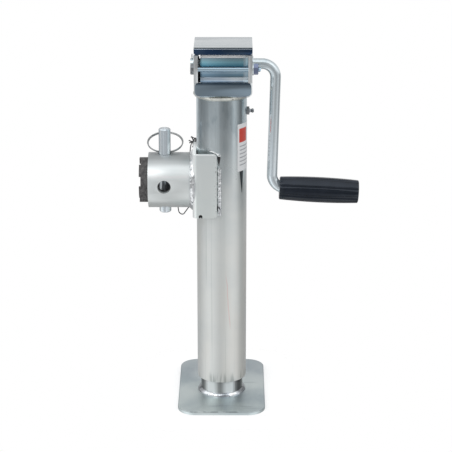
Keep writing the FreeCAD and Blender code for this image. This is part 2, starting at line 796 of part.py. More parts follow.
def mount_stub():
    # A pipe turned down where it runs in the sleeve, with a shoulder outside it
    left = sleeve_left - stub_show
    shoulder = sleeve_left - side_clearance
    right = -tube_od / 2 - side_clearance
    bore = stub_od / 2 - stub_wall
    body = ring(stub_od / 2, bore, (left, 0, swivel_z), (right, 0, swivel_z))
    body = body.fuse(ring(stub_end_od / 2, bore, (left, 0, swivel_z), (shoulder, 0, swivel_z)))
    reach = sleeve_od
    groove = snap_groove_x
    cuts = [rod(pin_hole_d / 2, (pin_x, 0, swivel_z - reach), (pin_x, 0, swivel_z + reach)),
            rod(pin_hole_d / 2, (pin_x, -reach, swivel_z), (pin_x, reach, swivel_z)),
            ring(stub_od, snap_groove_r, (groove, 0, swivel_z), (groove + snap_ring_width, 0, swivel_z))]
    width = stub_od * math.sin(math.radians(stub_notch_angle / 2))
    for k in range(stub_teeth):
        notch = block(left - 1, left + stub_notch_depth, -width / 2, width / 2, 0, stub_od)
        notch.rotate(V(0, 0, 0), V(1, 0, 0), 360 * k / stub_teeth + 20)
        notch.translate(V(0, 0, swivel_z))
        cuts.append(notch)
    return body.cut(cuts).removeSplitter()


def stub_snap_ring():
    start = snap_groove_x
    end = start + snap_ring_width
    half = snap_ring_gap / 2
    whole = ring(snap_ring_od / 2, snap_groove_r, (start, 0, swivel_z), (end, 0, swivel_z))
    return whole.cut(block(start - 1, end + 1, -half, half, swivel_z, swivel_z + snap_ring_od))


# Lock pin and its ring
def lock_pin():
    low = swivel_z - lock_pin_down
    high = swivel_z + lock_pin_up
    pin = rod(lock_pin_d / 2, (pin_x, 0, low), (pin_x, 0, high))
    pin = pin.makeChamfer(lock_pin_chamfer, [e for e in pin.Edges if e.BoundBox.ZMin > high - 0.01])
    pin = pin.makeFillet(lock_pin_round, [e for e in pin.Edges if e.BoundBox.ZMax < low + 0.01])
    hole_r = ring_wire_d / 2 + shaft_clearance
    return pin.cut(rod(hole_r, (pin_x - lock_pin_d, 0, ring_hole_z), (pin_x + lock_pin_d, 0, ring_hole_z)))


def pin_ring():
    # A wire circle with a straight stretch through the pin, leaning up to the back
    r = ring_d / 2
    half = ring_straight / 2
    drop = math.sqrt(r * r - half * half)
    ends = [V(half, 0, 0), V(-half, 0, 0)]
    arc = Part.Arc(ends[0], V(0, drop + r, 0), ends[1]).toShape()
    arc_solid = Part.Wire([arc]).makePipeShell([profile_at(arc, ring_wire_d / 2)], True, False)
    bar = rod(ring_wire_d / 2, (-half, 0, 0), (half, 0, 0))
    knuckles = [Part.makeSphere(ring_wire_d / 2, p) for p in ends]
    shape = arc_solid.fuse([bar] + knuckles).removeSplitter()
    shape.Placement = FreeCAD.Placement(V(pin_x, 0, ring_hole_z), FreeCAD.Rotation(V(1, 0, 0), ring_tilt))
    return shape


def profile_at(edge, radius):
    start = edge.valueAt(edge.FirstParameter)
    return Part.Wire(Part.makeCircle(radius, start, edge.tangentAt(edge.FirstParameter)))


# Tie wire, round the bracket's web behind the sleeve
def tie_route():
    x = -saddle_reach
    y = tube_od / 2
    back = sleeve_od / 2 + sleeve_weld_size + tie_wire_stand
    under = swivel_z - sleeve_od / 2
    low = saddle_low
    high = saddle_top
    pocket = y - 3.8
    return [(x + 1.8, y - 0.3, high + 3.2), (x - 3.3, y + 3.4, high - 4.8),
            (x - 5.2, back - 0.8, swivel_z + 19.0), (x - 7.0, back + 0.3, swivel_z - 6.0),
            (x - 13.5, back - 4.0, under + 7.0), (x - 20.0, y - 7.0, under - 4.5),
            (x - 18.0, y - 16.0, under - 13.0), (x - 13.0, y - 18.0, under - 15.2),
            (x - 9.5, y - 13.5, under - 11.5), (x - 5.5, y - 8.5, low - 2.0), (x + 5.5, y - 5.0, low - 2.0),
            (x + 8.2, pocket, low + 9.0), (x + 8.6, pocket, low + 25.0), (x + 8.2, pocket, low + 50.0),
            (x + 7.4, pocket + 0.5, high - 6.0), (x + 4.6, y - 1.6, high + 3.5)]


def arc_radii(points):
    radii = []
    for a, b, c in zip(points, points[1:], points[2:]):
        back = V(*a) - V(*b)
        on = V(*c) - V(*b)
        half_turn = (math.pi - back.getAngle(on)) / 2
        radii.append(0.45 * min(back.Length, on.Length) / math.tan(max(half_turn, 0.02)))
    return radii


def tie_wire():
    route = tie_route()
    x, y, z = route[0]
    end_x, end_y, end_z = route[-1]
    r = tie_wire_d / 2
    bar = swept(route, arc_radii(route), r)
    tails = [rod(r, (x + r / 4, y - r / 2, z), (x - 5.0, y - 1.4, z + 2.0)),
             rod(r, (end_x, end_y, end_z - r / 4), (x - 0.4, y + 0.6, z + r / 4))]
    return bar.fuse(tails).removeSplitter()


makers = [foot_plate, foot_weld, leg_tube, lead_nut, housing_tube, grease_fitting, head_bracket, head_weld,
          top_cover, gear_cover, cover_bolt, bolt_washer, cover_nut, shaft_bushing_left, shaft_bushing_right,
          crank_handle, shaft_washer, cotter_pin, grip, screw_gear, screw_gear_pin, pinion, pinion_pin,
          lead_screw, screw_stop, bearing_race_fixed, bearing_race_turning, bearing_balls, gear_washer,
          saddle_bracket, saddle_weld, swivel_sleeve, sleeve_weld, mount_stub, stub_snap_ring, lock_pin,
          pin_ring, tie_wire]

os.makedirs("parts", exist_ok=True)
for maker in makers:
    shape = maker()
    print(maker.__name__, len(shape.Solids), round(shape.Volume, 1), shape.isValid())
    shape.exportStep("parts/" + maker.__name__ + ".step")
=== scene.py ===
import bpy
import json
import math
from math import asin, atan2, cos, degrees, pi, radians, sin, sqrt, tau
from mathutils import Matrix, Vector

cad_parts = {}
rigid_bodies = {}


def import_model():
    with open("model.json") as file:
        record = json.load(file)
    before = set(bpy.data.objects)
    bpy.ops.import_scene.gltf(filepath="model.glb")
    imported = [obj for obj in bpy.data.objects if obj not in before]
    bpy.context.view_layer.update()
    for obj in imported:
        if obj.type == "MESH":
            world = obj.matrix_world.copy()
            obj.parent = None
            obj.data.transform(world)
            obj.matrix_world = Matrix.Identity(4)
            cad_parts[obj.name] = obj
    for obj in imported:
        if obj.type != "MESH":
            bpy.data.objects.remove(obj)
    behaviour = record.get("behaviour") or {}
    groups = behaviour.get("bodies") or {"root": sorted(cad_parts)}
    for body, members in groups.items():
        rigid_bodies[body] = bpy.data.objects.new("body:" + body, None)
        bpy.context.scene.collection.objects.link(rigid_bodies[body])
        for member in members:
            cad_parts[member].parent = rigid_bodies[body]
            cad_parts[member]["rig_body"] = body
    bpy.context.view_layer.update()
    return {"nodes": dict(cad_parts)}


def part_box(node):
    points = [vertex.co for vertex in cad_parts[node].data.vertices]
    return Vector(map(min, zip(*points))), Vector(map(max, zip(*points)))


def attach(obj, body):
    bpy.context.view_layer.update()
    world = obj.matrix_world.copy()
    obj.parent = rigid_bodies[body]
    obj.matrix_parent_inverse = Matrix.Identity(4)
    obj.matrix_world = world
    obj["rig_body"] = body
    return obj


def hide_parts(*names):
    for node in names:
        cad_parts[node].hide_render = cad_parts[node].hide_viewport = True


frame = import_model()
nodes = frame["nodes"]
scene = bpy.context.scene
print("frame loaded:", len(nodes), "parts")


# Camera and light

cameraSetup = {"place": (0.01555, -1.90635, 0.8391), "tilt": 18.03, "turn": 0.31, "lens": 130.9}


def placeCamera():
    data = bpy.data.cameras.new("camera")
    data.lens = cameraSetup["lens"]
    data.sensor_width = 36
    data.clip_start = 0.05
    data.clip_end = 60
    camera = bpy.data.objects.new("camera", data)
    camera.location = cameraSetup["place"]
    camera.rotation_euler = (radians(90 - cameraSetup["tilt"]), 0, radians(cameraSetup["turn"]))
    scene.collection.objects.link(camera)
    scene.camera = camera


placeCamera()


# Shader nodes written as sums

finishes = {}


class Wire:
    # one output of a node, that can be added, multiplied and compared
    def __init__(self, web, socket):
        self.web = web
        self.socket = socket

    def span(self, low, high):
        # 0 under low, 1 over high and smooth between them
        return self.web.node("MapRange", {0: self, 1: low, 2: high, 3: 0, 4: 1}, {"interpolation_type": "SMOOTHSTEP"})

    def tint(self, share, colour):
        return self.web.mix(share, self, colour, "MULTIPLY")


def wireSum(operation, swapped):
    def act(wire, other=0):
        first, second = (other, wire) if swapped else (wire, other)
        return wire.web.sum(operation, first, second)
    return act


for sign, operation in {"add": "ADD", "sub": "SUBTRACT", "mul": "MULTIPLY", "truediv": "DIVIDE",
                        "gt": "GREATER_THAN", "lt": "LESS_THAN", "abs": "ABSOLUTE"}.items():
    setattr(Wire, "__" + sign + "__", wireSum(operation, False))
    if sign in ("add", "sub", "mul"):
        setattr(Wire, "__r" + sign + "__", wireSum(operation, True))


class Web:
    # a node tree, either a material's or the world's
    def __init__(self, owner):
        owner.use_nodes = True
        self.owner = owner
        self.tree = owner.node_tree
        self.tree.nodes.clear()

    def node(self, kind, inputs=None, settings=None, output=0):
        made = self.tree.nodes.new("ShaderNode" + kind)
        for name, value in (settings or {}).items():
            setattr(made, name, value)
        for name, value in (inputs or {}).items():
            socket = made.inputs[name]
            if isinstance(value, Wire):
                self.tree.links.new(value.socket, socket)
            else:
                socket.default_value = (*value, 1) if socket.type == "RGBA" else value
        return Wire(self, made.outputs[output]) if len(made.outputs) else made

    def sum(self, operation, first, second=0):
        return self.node("Math", {0: first, 1: second}, {"operation": operation})

    def turn(self, side, ahead):
        # the share of a full turn that a spot stands off the front, from -0.5 to 0.5
        return self.sum("ARCTAN2", side, ahead) / (2 * pi)

    def ramp(self, value, stops, blend="EASE"):
        # stops: (place from 0 to 1, grey level or colour)
        wire = self.node("ValToRGB", {"Fac": value})
        ramp = wire.socket.node.color_ramp
        ramp.interpolation = blend
        while len(ramp.elements) < len(stops):
            ramp.elements.new(0.5)
        for element, (position, colour) in zip(ramp.elements, sorted(stops, key=lambda s: s[0])):
            element.position = position
            element.color = (*colour, 1)
        return wire

    def mix(self, share, first, second, way="MIX"):
        return self.node("Mix", {0: share, 6: first, 7: second}, {"data_type": "RGBA", "blend_type": way}, 2)

    def place(self, kind="Object"):
        return self.node("TexCoord", output=kind)

    def axes(self, kind="Object"):
        split = self.tree.nodes.new("ShaderNodeSeparateXYZ")
        self.tree.links.new(self.place(kind).socket, split.inputs[0])
        return [Wire(self, out) for out in split.outputs]

    def noise(self, scale, detail=3, stretch=(1, 1, 1), rough=0.5):
        spot = self.node("Mapping", {0: self.place(), 3: stretch})
        return self.node("TexNoise", {"Vector": spot, "Scale": scale, "Detail": detail, "Roughness": rough})

    def bump(self, height, depth, strength=1):
        return self.node("Bump", {"Strength": strength, "Distance": depth, "Height": height})

    def surface(self, base, rough, metal, normal, more=None):
        shader = self.node("BsdfPrincipled", {"Base Color": base, "Roughness": rough, "Metallic": metal,
                                              "Normal": normal, **(more or {})})
        self.node("OutputMaterial", {"Surface": shader})
        finishes[self.owner.name] = self.owner


def newWeb(name):
    return Web(bpy.data.materials.new(name))


# World: a plain white room, and for reflections a studio with dark gaps between its soft boxes

# {degrees from the front: brightness} just under the horizon, and on the pale table further down
farBands = {-180: 0.62, -142: 0.6, -116: 0.26, -84: 0.3, -56: 0.33, -40: 0.4, -24: 0.62, -10: 0.44,
            4: 0.3, 24: 0.26, 38: 0.36, 58: 0.56, 72: 0.44, 104: 0.17, 124: 0.35, 146: 0.66, 180: 0.62}
tableBands = {-180: 0.42, -140: 0.36, -108: 0.52, -88: 0.9, -62: 1.16, -44: 1.04, -26: 0.66, -12: 0.46,
              0: 0.48, 18: 0.82, 34: 0.98, 58: 1, 74: 0.84, 92: 0.4, 116: 0.17, 146: 0.2, 180: 0.42}
skyBands = {-180: 0.7, -120: 0.9, -80: 1.1, -40: 0.7, 0: 0.34, 40: 0.75, 80: 1.05, 120: 0.75, 180: 0.7}
# {degrees from the front horizon over the top to the back one: brightness}
archBands = {0: 0.32, 24: 0.26, 36: 0.34, 50: 0.95, 62: 1.2, 76: 1.1, 96: 0.9, 116: 0.66, 136: 0.46,
             150: 0.52, 161: 0.8, 172: 0.86, 180: 0.8}
lampSetup = {"worldLight": 0.86, "plain": (0.985, 0.992, 1), "key": 5, "fill": 1.6}


def bandRamp(web, turn, bands):
    return web.ramp(turn, [((angle + 180) / 360, (level, level * 1.005, level * 1.015))
                           for angle, level in bands.items()], "LINEAR")


def makeWorld():
    world = bpy.data.worlds.new("studio")
    scene.world = world
    web = Web(world)
    x, y, z = web.axes("Generated")
    turn = web.turn(x, 0 - y) + 0.5
    rise = web.sum("ARCSINE", z) * (180 / pi)
    low = web.mix(rise.span(-19.5, -13.5), bandRamp(web, turn, tableBands), bandRamp(web, turn, farBands))
    # overhead there is one wide soft box, a little to the front
    arch = web.sum("ARCTAN2", z, 0 - y) / pi
    overhead = web.ramp(arch, [(angle / 180, (level * 0.985, level, level * 1.01))
                               for angle, level in archBands.items()])
    high = web.mix(rise.span(20, 50), web.mix(0.5, bandRamp(web, turn, skyBands), overhead), overhead)
    studio = web.mix(rise.span(-4, 5), low, high)
    glossy = web.node("LightPath", output="Is Glossy Ray")
    camera = web.node("LightPath", output="Is Camera Ray")
    level = web.mix(glossy, lampSetup["plain"], studio)
    strength = glossy + (1 - glossy) * lampSetup["worldLight"]
    room = web.node("Background", {"Color": level, "Strength": strength})
    white = web.node("Background", {"Color": (1, 1, 1), "Strength": 1})
    both = web.node("MixShader", {0: camera, 1: room, 2: white})
    web.node("OutputWorld", {"Surface": both})


def softBox(name, place, target, size, power):
    data = bpy.data.lights.new(name, "AREA")
    data.shape = "RECTANGLE"
    data.size, data.size_y = size
    data.energy = power
    lamp = bpy.data.objects.new(name, data)
    lamp.location = place
    lamp.rotation_euler = (Vector(target) - Vector(place)).to_track_quat("-Z", "Y").to_euler()
    scene.collection.objects.link(lamp)


# the shadow's rim: the plate's half width and half depth, its middle, and where the rim begins and ends to fade
floorSetup = {"size": 14, "drop": -0.0004, "grey": (0.62, 0.62, 0.62), "glow": 0.5, "halfX": 0.0535, "halfY": 0.084,
              "middleY": 0.01, "fade": (0.012, 0.05), "edge": 0.0006}


def makeFloor():
    bpy.ops.mesh.primitive_plane_add(size=floorSetup["size"], location=(0, 0, floorSetup["drop"]))
    floor = bpy.context.object
    floor.name = "floor"
    web = newWeb("paleFloor")
    diffuse = web.node("BsdfDiffuse", {"Color": floorSetup["grey"]})
    camera = web.node("LightPath", output="Is Camera Ray")
    glow = web.node("Emission", {"Color": (1, 1, 1), "Strength": camera * floorSetup["glow"]})
    both = web.node("AddShader", {0: diffuse, 1: glow})
    # only a rim round the plate keeps the shadow: elsewhere the camera looks through and sees the leg when it is out
    x, y, _ = web.axes()
    beside = web.sum("MAXIMUM", abs(x) - floorSetup["halfX"])
    beyond = web.sum("MAXIMUM", abs(y - floorSetup["middleY"]) - floorSetup["halfY"])
    away = web.sum("SQRT", beside * beside + beyond * beyond)
    clear = web.node("BsdfTransparent")
    gone = away.span(*floorSetup["fade"]) + (1 - away.span(0, floorSetup["edge"]))
    seen = web.node("MixShader", {0: camera * gone, 1: both, 2: clear})
    web.node("OutputMaterial", {"Surface": seen})
    floor.data.materials.append(web.owner)
    floor.visible_glossy = False


makeWorld()
makeFloor()
softBox("keyBox", (-1.1, -1.5, 1.9), (0, 0, 0.2), (1.2, 1.2), lampSetup["key"])
softBox("fillBox", (1.5, -1, 1.3), (0, 0, 0.2), (1, 1.4), lampSetup["fill"])
scene.view_settings.view_transform = "Standard"
print("stage ready")


# Finishes

def zincFinish(name, look):
    # plated steel: its colour goes with height, with clouds, long streaks and fine scratches over it
    web = newWeb(name)
    x, y, z = web.axes()
    clouds = web.noise(look.get("cloudScale", 22), 4)
    streaks = web.noise(look.get("streakScale", 160), 3, look.get("streakWay", (1, 1, 0.02)))
    grain = web.noise(1400, 2)
    rise = (z + (clouds - 0.5) * look.get("drift", 0)).span(*look.get("heights", (0, 1)))
    base = web.mix(rise, look["low"], look.get("high", look["low"]))
    base = base.tint(clouds.span(0.42, 0.72) * look.get("cloud", 0.35), look["clouds"])
    base = base.tint(streaks.span(0.5, 0.75) * look.get("streak", 0.2), look["streaks"])
    if "bands" in look:
        # painted reflections: bright and dark bands that run along a round piece, which may lie along X
        centre = look.get("centre", (0, 0, 0))
        side = z - centre[2] if look.get("lying") else x - centre[0]
        turn = web.turn(side, centre[1] - y) + 0.5 + (streaks - 0.5) * 0.012
        bands = web.ramp(turn, [((angle + 180) / 360, (level,) * 3) for angle, level in look["bands"].items()])
        share = z.span(*look["bandHeights"]) if "bandHeights" in look else 1
        base = base.tint(share, bands)
    if "specks" in look:
        base = base.tint(web.noise(look["specks"], 2).span(0.62, 0.7) * 0.8, (0.1, 0.1, 0.11))
    for scale, detail, stretch, start, full, share, colour in look.get("layers", []):
        base = base.tint(web.noise(scale, detail, stretch).span(start, full) * share, colour)
    if "marks" in look:
        base = look["marks"](web, x, y, z, base)
    rough = look["rough"] + clouds * 0.1 - 0.05 + streaks * 0.06 - 0.03
    metal = look.get("metal", 1)
    if "metalHigh" in look:
        metal = metal + rise * (look["metalHigh"] - look["metal"])
        rough = rough + (1 - rise) * look.get("dull", 0)
    height = clouds * 0.5 + streaks * 0.3 + grain * 0.06
    web.surface(base, rough, metal, web.bump(height, look.get("bump", 0.0002), 0.5))


# heights of the tube's patches, of the dark run and where it stands, of the drips and of the faint stain
tubeStains = {"upper": (0.3, 0.35), "run": (0.267, 0.2985), "runX": 0.024, "warmTop": 0.24, "dripTop": 0.04,
              "stain": (0.092, 0.172), "stainX": 0.0062}


def tubeMarks(web, x, y, z, base, at=tubeStains):
    # wet-looking patches, thin scores, a dark run under the label, drips at the foot and a faint stain
    front = 0 - y > 0
    patches = web.noise(70, 5, (1.5, 1.5, 0.45), 0.62)
    upper = z.span(*at["upper"])
    base = base.tint(patches.span(0.52, 0.64) * upper * 0.4, (0.62, 0.68, 0.7))
    base = base.tint((1 - patches).span(0.56, 0.66) * upper * 0.35, (1.35, 1.35, 1.35))
    foot, top = at["run"]
    half = (z - foot + 0.001) * 0.075 + 0.0004
    run = (half - abs(x - at["runX"] + (z - 0.28) * 0.02)).span(0, 0.0005) * (z > foot) * (z < top) * front
    base = base.tint(run * 0.95, (0.08, 0.09, 0.1))
    warm = web.noise(30, 3, (1, 1, 0.2)).span(0.4, 0.65) * (at["warmTop"] - z).span(0, 0.05)
    base = base.tint(warm * 0.8, (0.985, 0.955, 0.93))
    drips = web.noise(230, 2, (1, 1, 0.09))
    wet = drips.span(0.5, 0.62) * (at["dripTop"] - z).span(0, 0.012) * front
    base = base.tint(wet * 0.55, (0.46, 0.49, 0.48))
    sway = web.noise(40, 2)
    line = x - at["stainX"] - (0.155 - z) * 0.075 + (sway - 0.5) * 0.004
    foot, top = at["stain"]
    stain = (0.0009 - abs(line)).span(0, 0.0007) * z.span(foot, foot + 0.013) * (top - z).span(0, 0.02)
    return base.tint(stain * front * 0.8, (1, 0.8, 0.8))


bracketSpatterAndLight = {"leftBendHighlightX": -0.0292, "bend": (0.3166, 0.3174), "beadX": (-0.0115, -0.0065), "notch": (-0.025, 0.2412),
                 "notchRadius": 0.0026}


def bracketMarks(web, x, y, z, base, at=bracketSpatterAndLight):
    # painted highlights on the bend at the left side and along the top bend, spatter beside the bead, and painted
    # shade round the notch
    # painted highlights: paler on the bend at the bracket's left side and along its top bend
    base = base.tint((at["leftBendHighlightX"] - x).span(0, 0.003), (1.32, 1.32, 1.32))
    base = base.tint(z.span(*at["bend"]), (1.3, 1.3, 1.3))
    beside = x.span(*at["beadX"]) * (0 - y > 0.03)
    base = base.tint(web.noise(520, 2).span(0.6, 0.66) * beside * 0.8, (0.42, 0.43, 0.42))
    # painted shade: near-black round the notch, where the hollow behind it is in shade
    notchX, notchZ = at["notch"]
    away = web.sum("SQRT", (x - notchX) * (x - notchX) + (z - notchZ) * (z - notchZ))
    return base.tint((at["notchRadius"] - away).span(0, 0.0006), (0.02, 0.02, 0.02))


plateStainsAndLight = {"back": 0.085, "rimX": 0.052, "rimY": 0.0925, "legReflectionHalf": 0.034, "legReflectionY": (0.026, 0.036),
               "legReflectionEnd": 0.06, "sideTop": 0.0036, "frontEdge": -0.0725}


def plateMarks(web, x, y, z, base, at=plateStainsAndLight):
    # darker towards the back, cloudy, with a painted reflection of the leg: paler in front of it
    base = base.tint(y.span(0, at["back"]) * 0.8, (0.72, 0.72, 0.76))
    haze = web.noise(24, 5, (1, 0.6, 1), 0.6)
    base = base.tint(haze.span(0.5, 0.66) * 0.6, (0.8, 0.82, 0.86))
    rimX, rimY = at["rimX"], at["rimY"]
    rim = abs(x).span(rimX, rimX + 0.001) + y.span(rimY, rimY + 0.001)
    base = base.tint(rim * 0.6, (0.5, 0.52, 0.54))
    # painted reflection of the leg in the plate
    glow = (at["legReflectionHalf"] - abs(x)).span(0, 0.03) * (0 - y).span(*at["legReflectionY"])
    base = base.tint(glow * (at["legReflectionEnd"] + y).span(0, 0.02), (1.25, 1.25, 1.22))
    # a painted highlight on the side, under a dark, broken edge line
    top = at["sideTop"]
    base = base.tint((top - z).span(0, 0.0004), (1.45, 1.45, 1.45))
    edge = z.span(top - 0.0002, top + 0.0002) * (at["frontEdge"] - y).span(0, 0.0004)
    return base.tint(edge * web.noise(130, 2).span(0.42, 0.55) * 0.8, (0.4, 0.42, 0.44))


# layers: (scale, detail and stretch of the noise, where a layer begins, where it is full, its share, its colour)
# bands: painted reflections and highlights, {degrees round the piece from the front: brightness}; bandHeights: where
# the tube's painted bands fade in
looks = {
    "tubeZinc": {"low": (0.8, 0.82, 0.8), "high": (0.42, 0.475, 0.5), "heights": (0.215, 0.37), "rough": 0.24,
        "clouds": (0.88, 0.91, 0.93), "streaks": (0.82, 0.84, 0.85), "cloud": 0.6, "streak": 0.35, "bump": 0.00025,
        "drift": 0.02, "metal": 0.5, "metalHigh": 1, "dull": 0.08, "bands": {-180: 0.9, -120: 0.8, -74: 1.95,
        -60: 1.3, -50: 1.05, -38: 0.95, -27: 1.2, -17: 1.2, -8: 1.3, 1: 1.1, 10: 0.86, 20: 0.96,
        30: 1.4, 40: 1.3, 48: 1.05, 64: 2.1, 76: 1.6, 100: 1, 130: 0.8, 180: 0.9},
        "bandHeights": (0.24, 0.36), "marks": tubeMarks,
        "layers": [(300, 2, (1, 1, 0.012), 0.62, 0.7, 0.35, (0.66, 0.69, 0.68)),
                   (60, 2, (1, 1, 0.02), 0.55, 0.72, 0.35, (0.84, 0.86, 0.84))]},
    "legZinc": {"low": (0.98, 1, 1), "high": (0.9, 0.92, 0.93), "heights": (0, 0.3), "rough": 0.16,
        "clouds": (0.94, 0.95, 0.96), "streaks": (0.85, 0.87, 0.88), "metal": 0.35, "bands": {-180: 0.6,
        -130: 0.2, -100: 0.3, -76: 0.08, -64: 0.12, -54: 0.3, -46: 0.72, -38: 1, -24: 1,
        -15: 0.7, -8: 0.38, -3: 0.33, 2: 0.48, 8: 0.8, 14: 1, 30: 0.98, 36: 0.6, 43: 0.22,
        52: 0.08, 62: 0.05, 76: 0.1, 110: 0.5, 150: 0.25, 180: 0.6}},
    "plateZinc": {"low": (0.66, 0.72, 0.715), "high": (0.62, 0.68, 0.68), "heights": (0, 0.1), "rough": 0.38,
        "clouds": (0.8, 0.83, 0.86), "streaks": (0.8, 0.82, 0.82), "streakWay": (0.25, 0.05, 1), "streakScale": 40,
        "cloudScale": 16, "cloud": 0.9, "streak": 0.4, "bump": 0.0004, "metal": 0.72, "marks": plateMarks,
        "layers": [(9, 4, (1, 1, 1), 0.42, 0.6, 0.8, (0.78, 0.81, 0.83)),
                   (60, 2, (0.2, 1, 1), 0.66, 0.72, 0.4, (0.62, 0.64, 0.66))]},
    "rodZinc": {"low": (0.86, 0.93, 0.97), "high": (0.76, 0.83, 0.86), "heights": (0.27, 0.42), "rough": 0.12,
        "clouds": (0.86, 0.94, 0.94), "streaks": (0.72, 0.79, 0.84), "cloud": 0.6, "streak": 0.55, "metal": 0.78},
    "pinZinc": {"low": (0.86, 0.93, 0.98), "high": (0.86, 0.94, 1), "heights": (0.2, 0.4), "rough": 0.18,
        "clouds": (0.9, 0.92, 0.95), "streaks": (0.8, 0.84, 0.88), "cloud": 0.5, "streak": 0.4, "metal": 0.7,
        "centre": (-0.0684, 0, 0), "bands": {-180: 0.8, -90: 0.35, -70: 0.5, -52: 1.05, -38: 1.2,
        -20: 0.8, -6: 0.85, 10: 1, 26: 0.72, 42: 1.1, 58: 1.15, 74: 0.5, 90: 0.35, 180: 0.8}},
    "wireZinc": {"low": (0.5, 0.51, 0.51), "high": (0.52, 0.53, 0.53), "heights": (0.2, 0.4), "rough": 0.26,
        "clouds": (0.5, 0.52, 0.54), "streaks": (0.7, 0.7, 0.7), "cloudScale": 300, "cloud": 0.8},
    "tieSteel": {"low": (0.2, 0.2, 0.205), "high": (0.17, 0.17, 0.172), "heights": (0.2, 0.4), "rough": 0.32,
        "clouds": (0.5, 0.5, 0.5), "streaks": (0.6, 0.6, 0.6), "cloudScale": 300, "cloud": 0.8},
    "shankZinc": {"low": (0.56, 0.72, 0.84), "rough": 0.16, "clouds": (0.8, 0.9, 1), "streaks": (0.6, 0.7, 0.8),
        "streakWay": (0.02, 1, 1), "lying": True, "centre": (0, -0.027, 0.4195), "bands": {-180: 0.8, -90: 0.9,
        -30: 1, 0: 1.25, 25: 1.2, 50: 0.6, 75: 0.4, 110: 0.5, 180: 0.8}},
    "nutZinc": {"low": (0.3, 0.34, 0.52), "high": (0.34, 0.4, 0.58), "heights": (0.3, 0.5), "rough": 0.2,
        "clouds": (0.7, 0.8, 0.95), "streaks": (0.5, 0.55, 0.62)},
    "boltHeadZinc": {"low": (0.34, 0.36, 0.38), "high": (0.36, 0.38, 0.4), "heights": (0.3, 0.5), "rough": 0.22,
        "clouds": (0.6, 0.64, 0.68), "streaks": (0.5, 0.52, 0.55), "cloudScale": 240, "cloud": 0.7},
    "weldZinc": {"low": (0.84, 0.87, 0.91), "high": (0.9, 0.91, 0.91), "heights": (0.1, 0.39), "rough": 0.16,
        "clouds": (0.62, 0.64, 0.65), "streaks": (0.6, 0.62, 0.62), "streakWay": (1, 1, 1), "streakScale": 300,
        "cloudScale": 150, "cloud": 0.9, "bump": 0.0013, "metal": 0.9, "specks": 300},
    "footWeldZinc": {"low": (0.9, 0.93, 0.97), "rough": 0.12, "clouds": (0.55, 0.57, 0.6),
        "streaks": (0.5, 0.52, 0.54), "streakWay": (1, 1, 1), "streakScale": 260, "cloudScale": 110, "cloud": 0.9,
        "streak": 0.6, "bump": 0.0012, "metal": 0.85, "specks": 260, "bands": {-180: 0.5, -100: 0.4, -78: 0.3,
        -60: 0.5, -42: 1.1, -18: 1.15, -4: 0.75, 6: 0.8, 20: 1.15, 38: 1.1, 54: 0.45, 74: 0.3,
        100: 0.4, 180: 0.5}},
    "headWeldZinc": {"low": (0.74, 0.75, 0.7), "rough": 0.3, "clouds": (0.62, 0.62, 0.58),
        "streaks": (0.6, 0.62, 0.6), "streakWay": (1, 1, 1), "cloudScale": 160, "cloud": 0.7, "bump": 0.0008,
        "metal": 0.5, "specks": 420},
    "satinZinc": {"low": (0.8, 0.845, 0.83), "high": (0.83, 0.87, 0.865), "heights": (0.24, 0.32), "rough": 0.36,
        "clouds": (0.92, 0.94, 0.95), "streaks": (0.93, 0.94, 0.94), "cloud": 0.6, "cloudScale": 30, "bump": 0.00025,
        "metal": 0.55, "marks": bracketMarks},
    "sleeveZinc": {"low": (0.68, 0.71, 0.7), "high": (0.68, 0.71, 0.715), "heights": (0.24, 0.32), "rough": 0.32,
        "clouds": (0.92, 0.94, 0.95), "streaks": (0.9, 0.91, 0.91), "cloud": 0.6, "streakWay": (0.05, 1, 1),
        "cloudScale": 30, "bump": 0.00025, "metal": 0.55, "lying": True, "centre": (0, 0, 0.2775),
        "bands": {-180: 0.8, -90: 0.9, -42: 1.05, -15: 1.17, 8: 1.3, 22: 1.48, 39: 1.2, 55: 0.85,
        66: 0.68, 90: 0.66, 180: 0.8}},
    "plainSteel": {"low": (0.42, 0.43, 0.44), "rough": 0.35, "clouds": (0.8, 0.8, 0.82), "streaks": (0.8, 0.8, 0.8)},
    # painted shade: a near-black finish for the pieces that stand in for shade in gaps and hollows
    "paintedShadeBlack": {"low": (0.035, 0.035, 0.037), "rough": 0.5, "clouds": (0.6, 0.6, 0.6), "streaks": (0.8, 0.8, 0.8),
        "metal": 0.2, "cloudScale": 300, "bump": 0.0006},
}
for name, look in looks.items():
    zincFinish(name, look)

headLook = {"side": (0.84, 0.87, 0.88), "lip": (0.27, 0.345, 0.41), "lipEdge": (0.05, 0.085, 0.13),
            "fold": (0.028, 0.06, 0.13), "foldLine": (0.04, 0.055, 0.07), "lipFace": 0.0322, "foldFace": 0.0322,
            "lipTop": 0.4046, "foldFoot": 0.437, "foldTop": 0.4446, "roofFoot": 0.4455, "roofEdge": 0.031,
            "lineSpan": (0.0308, 0.0327), "lineFoot": 0.4443}


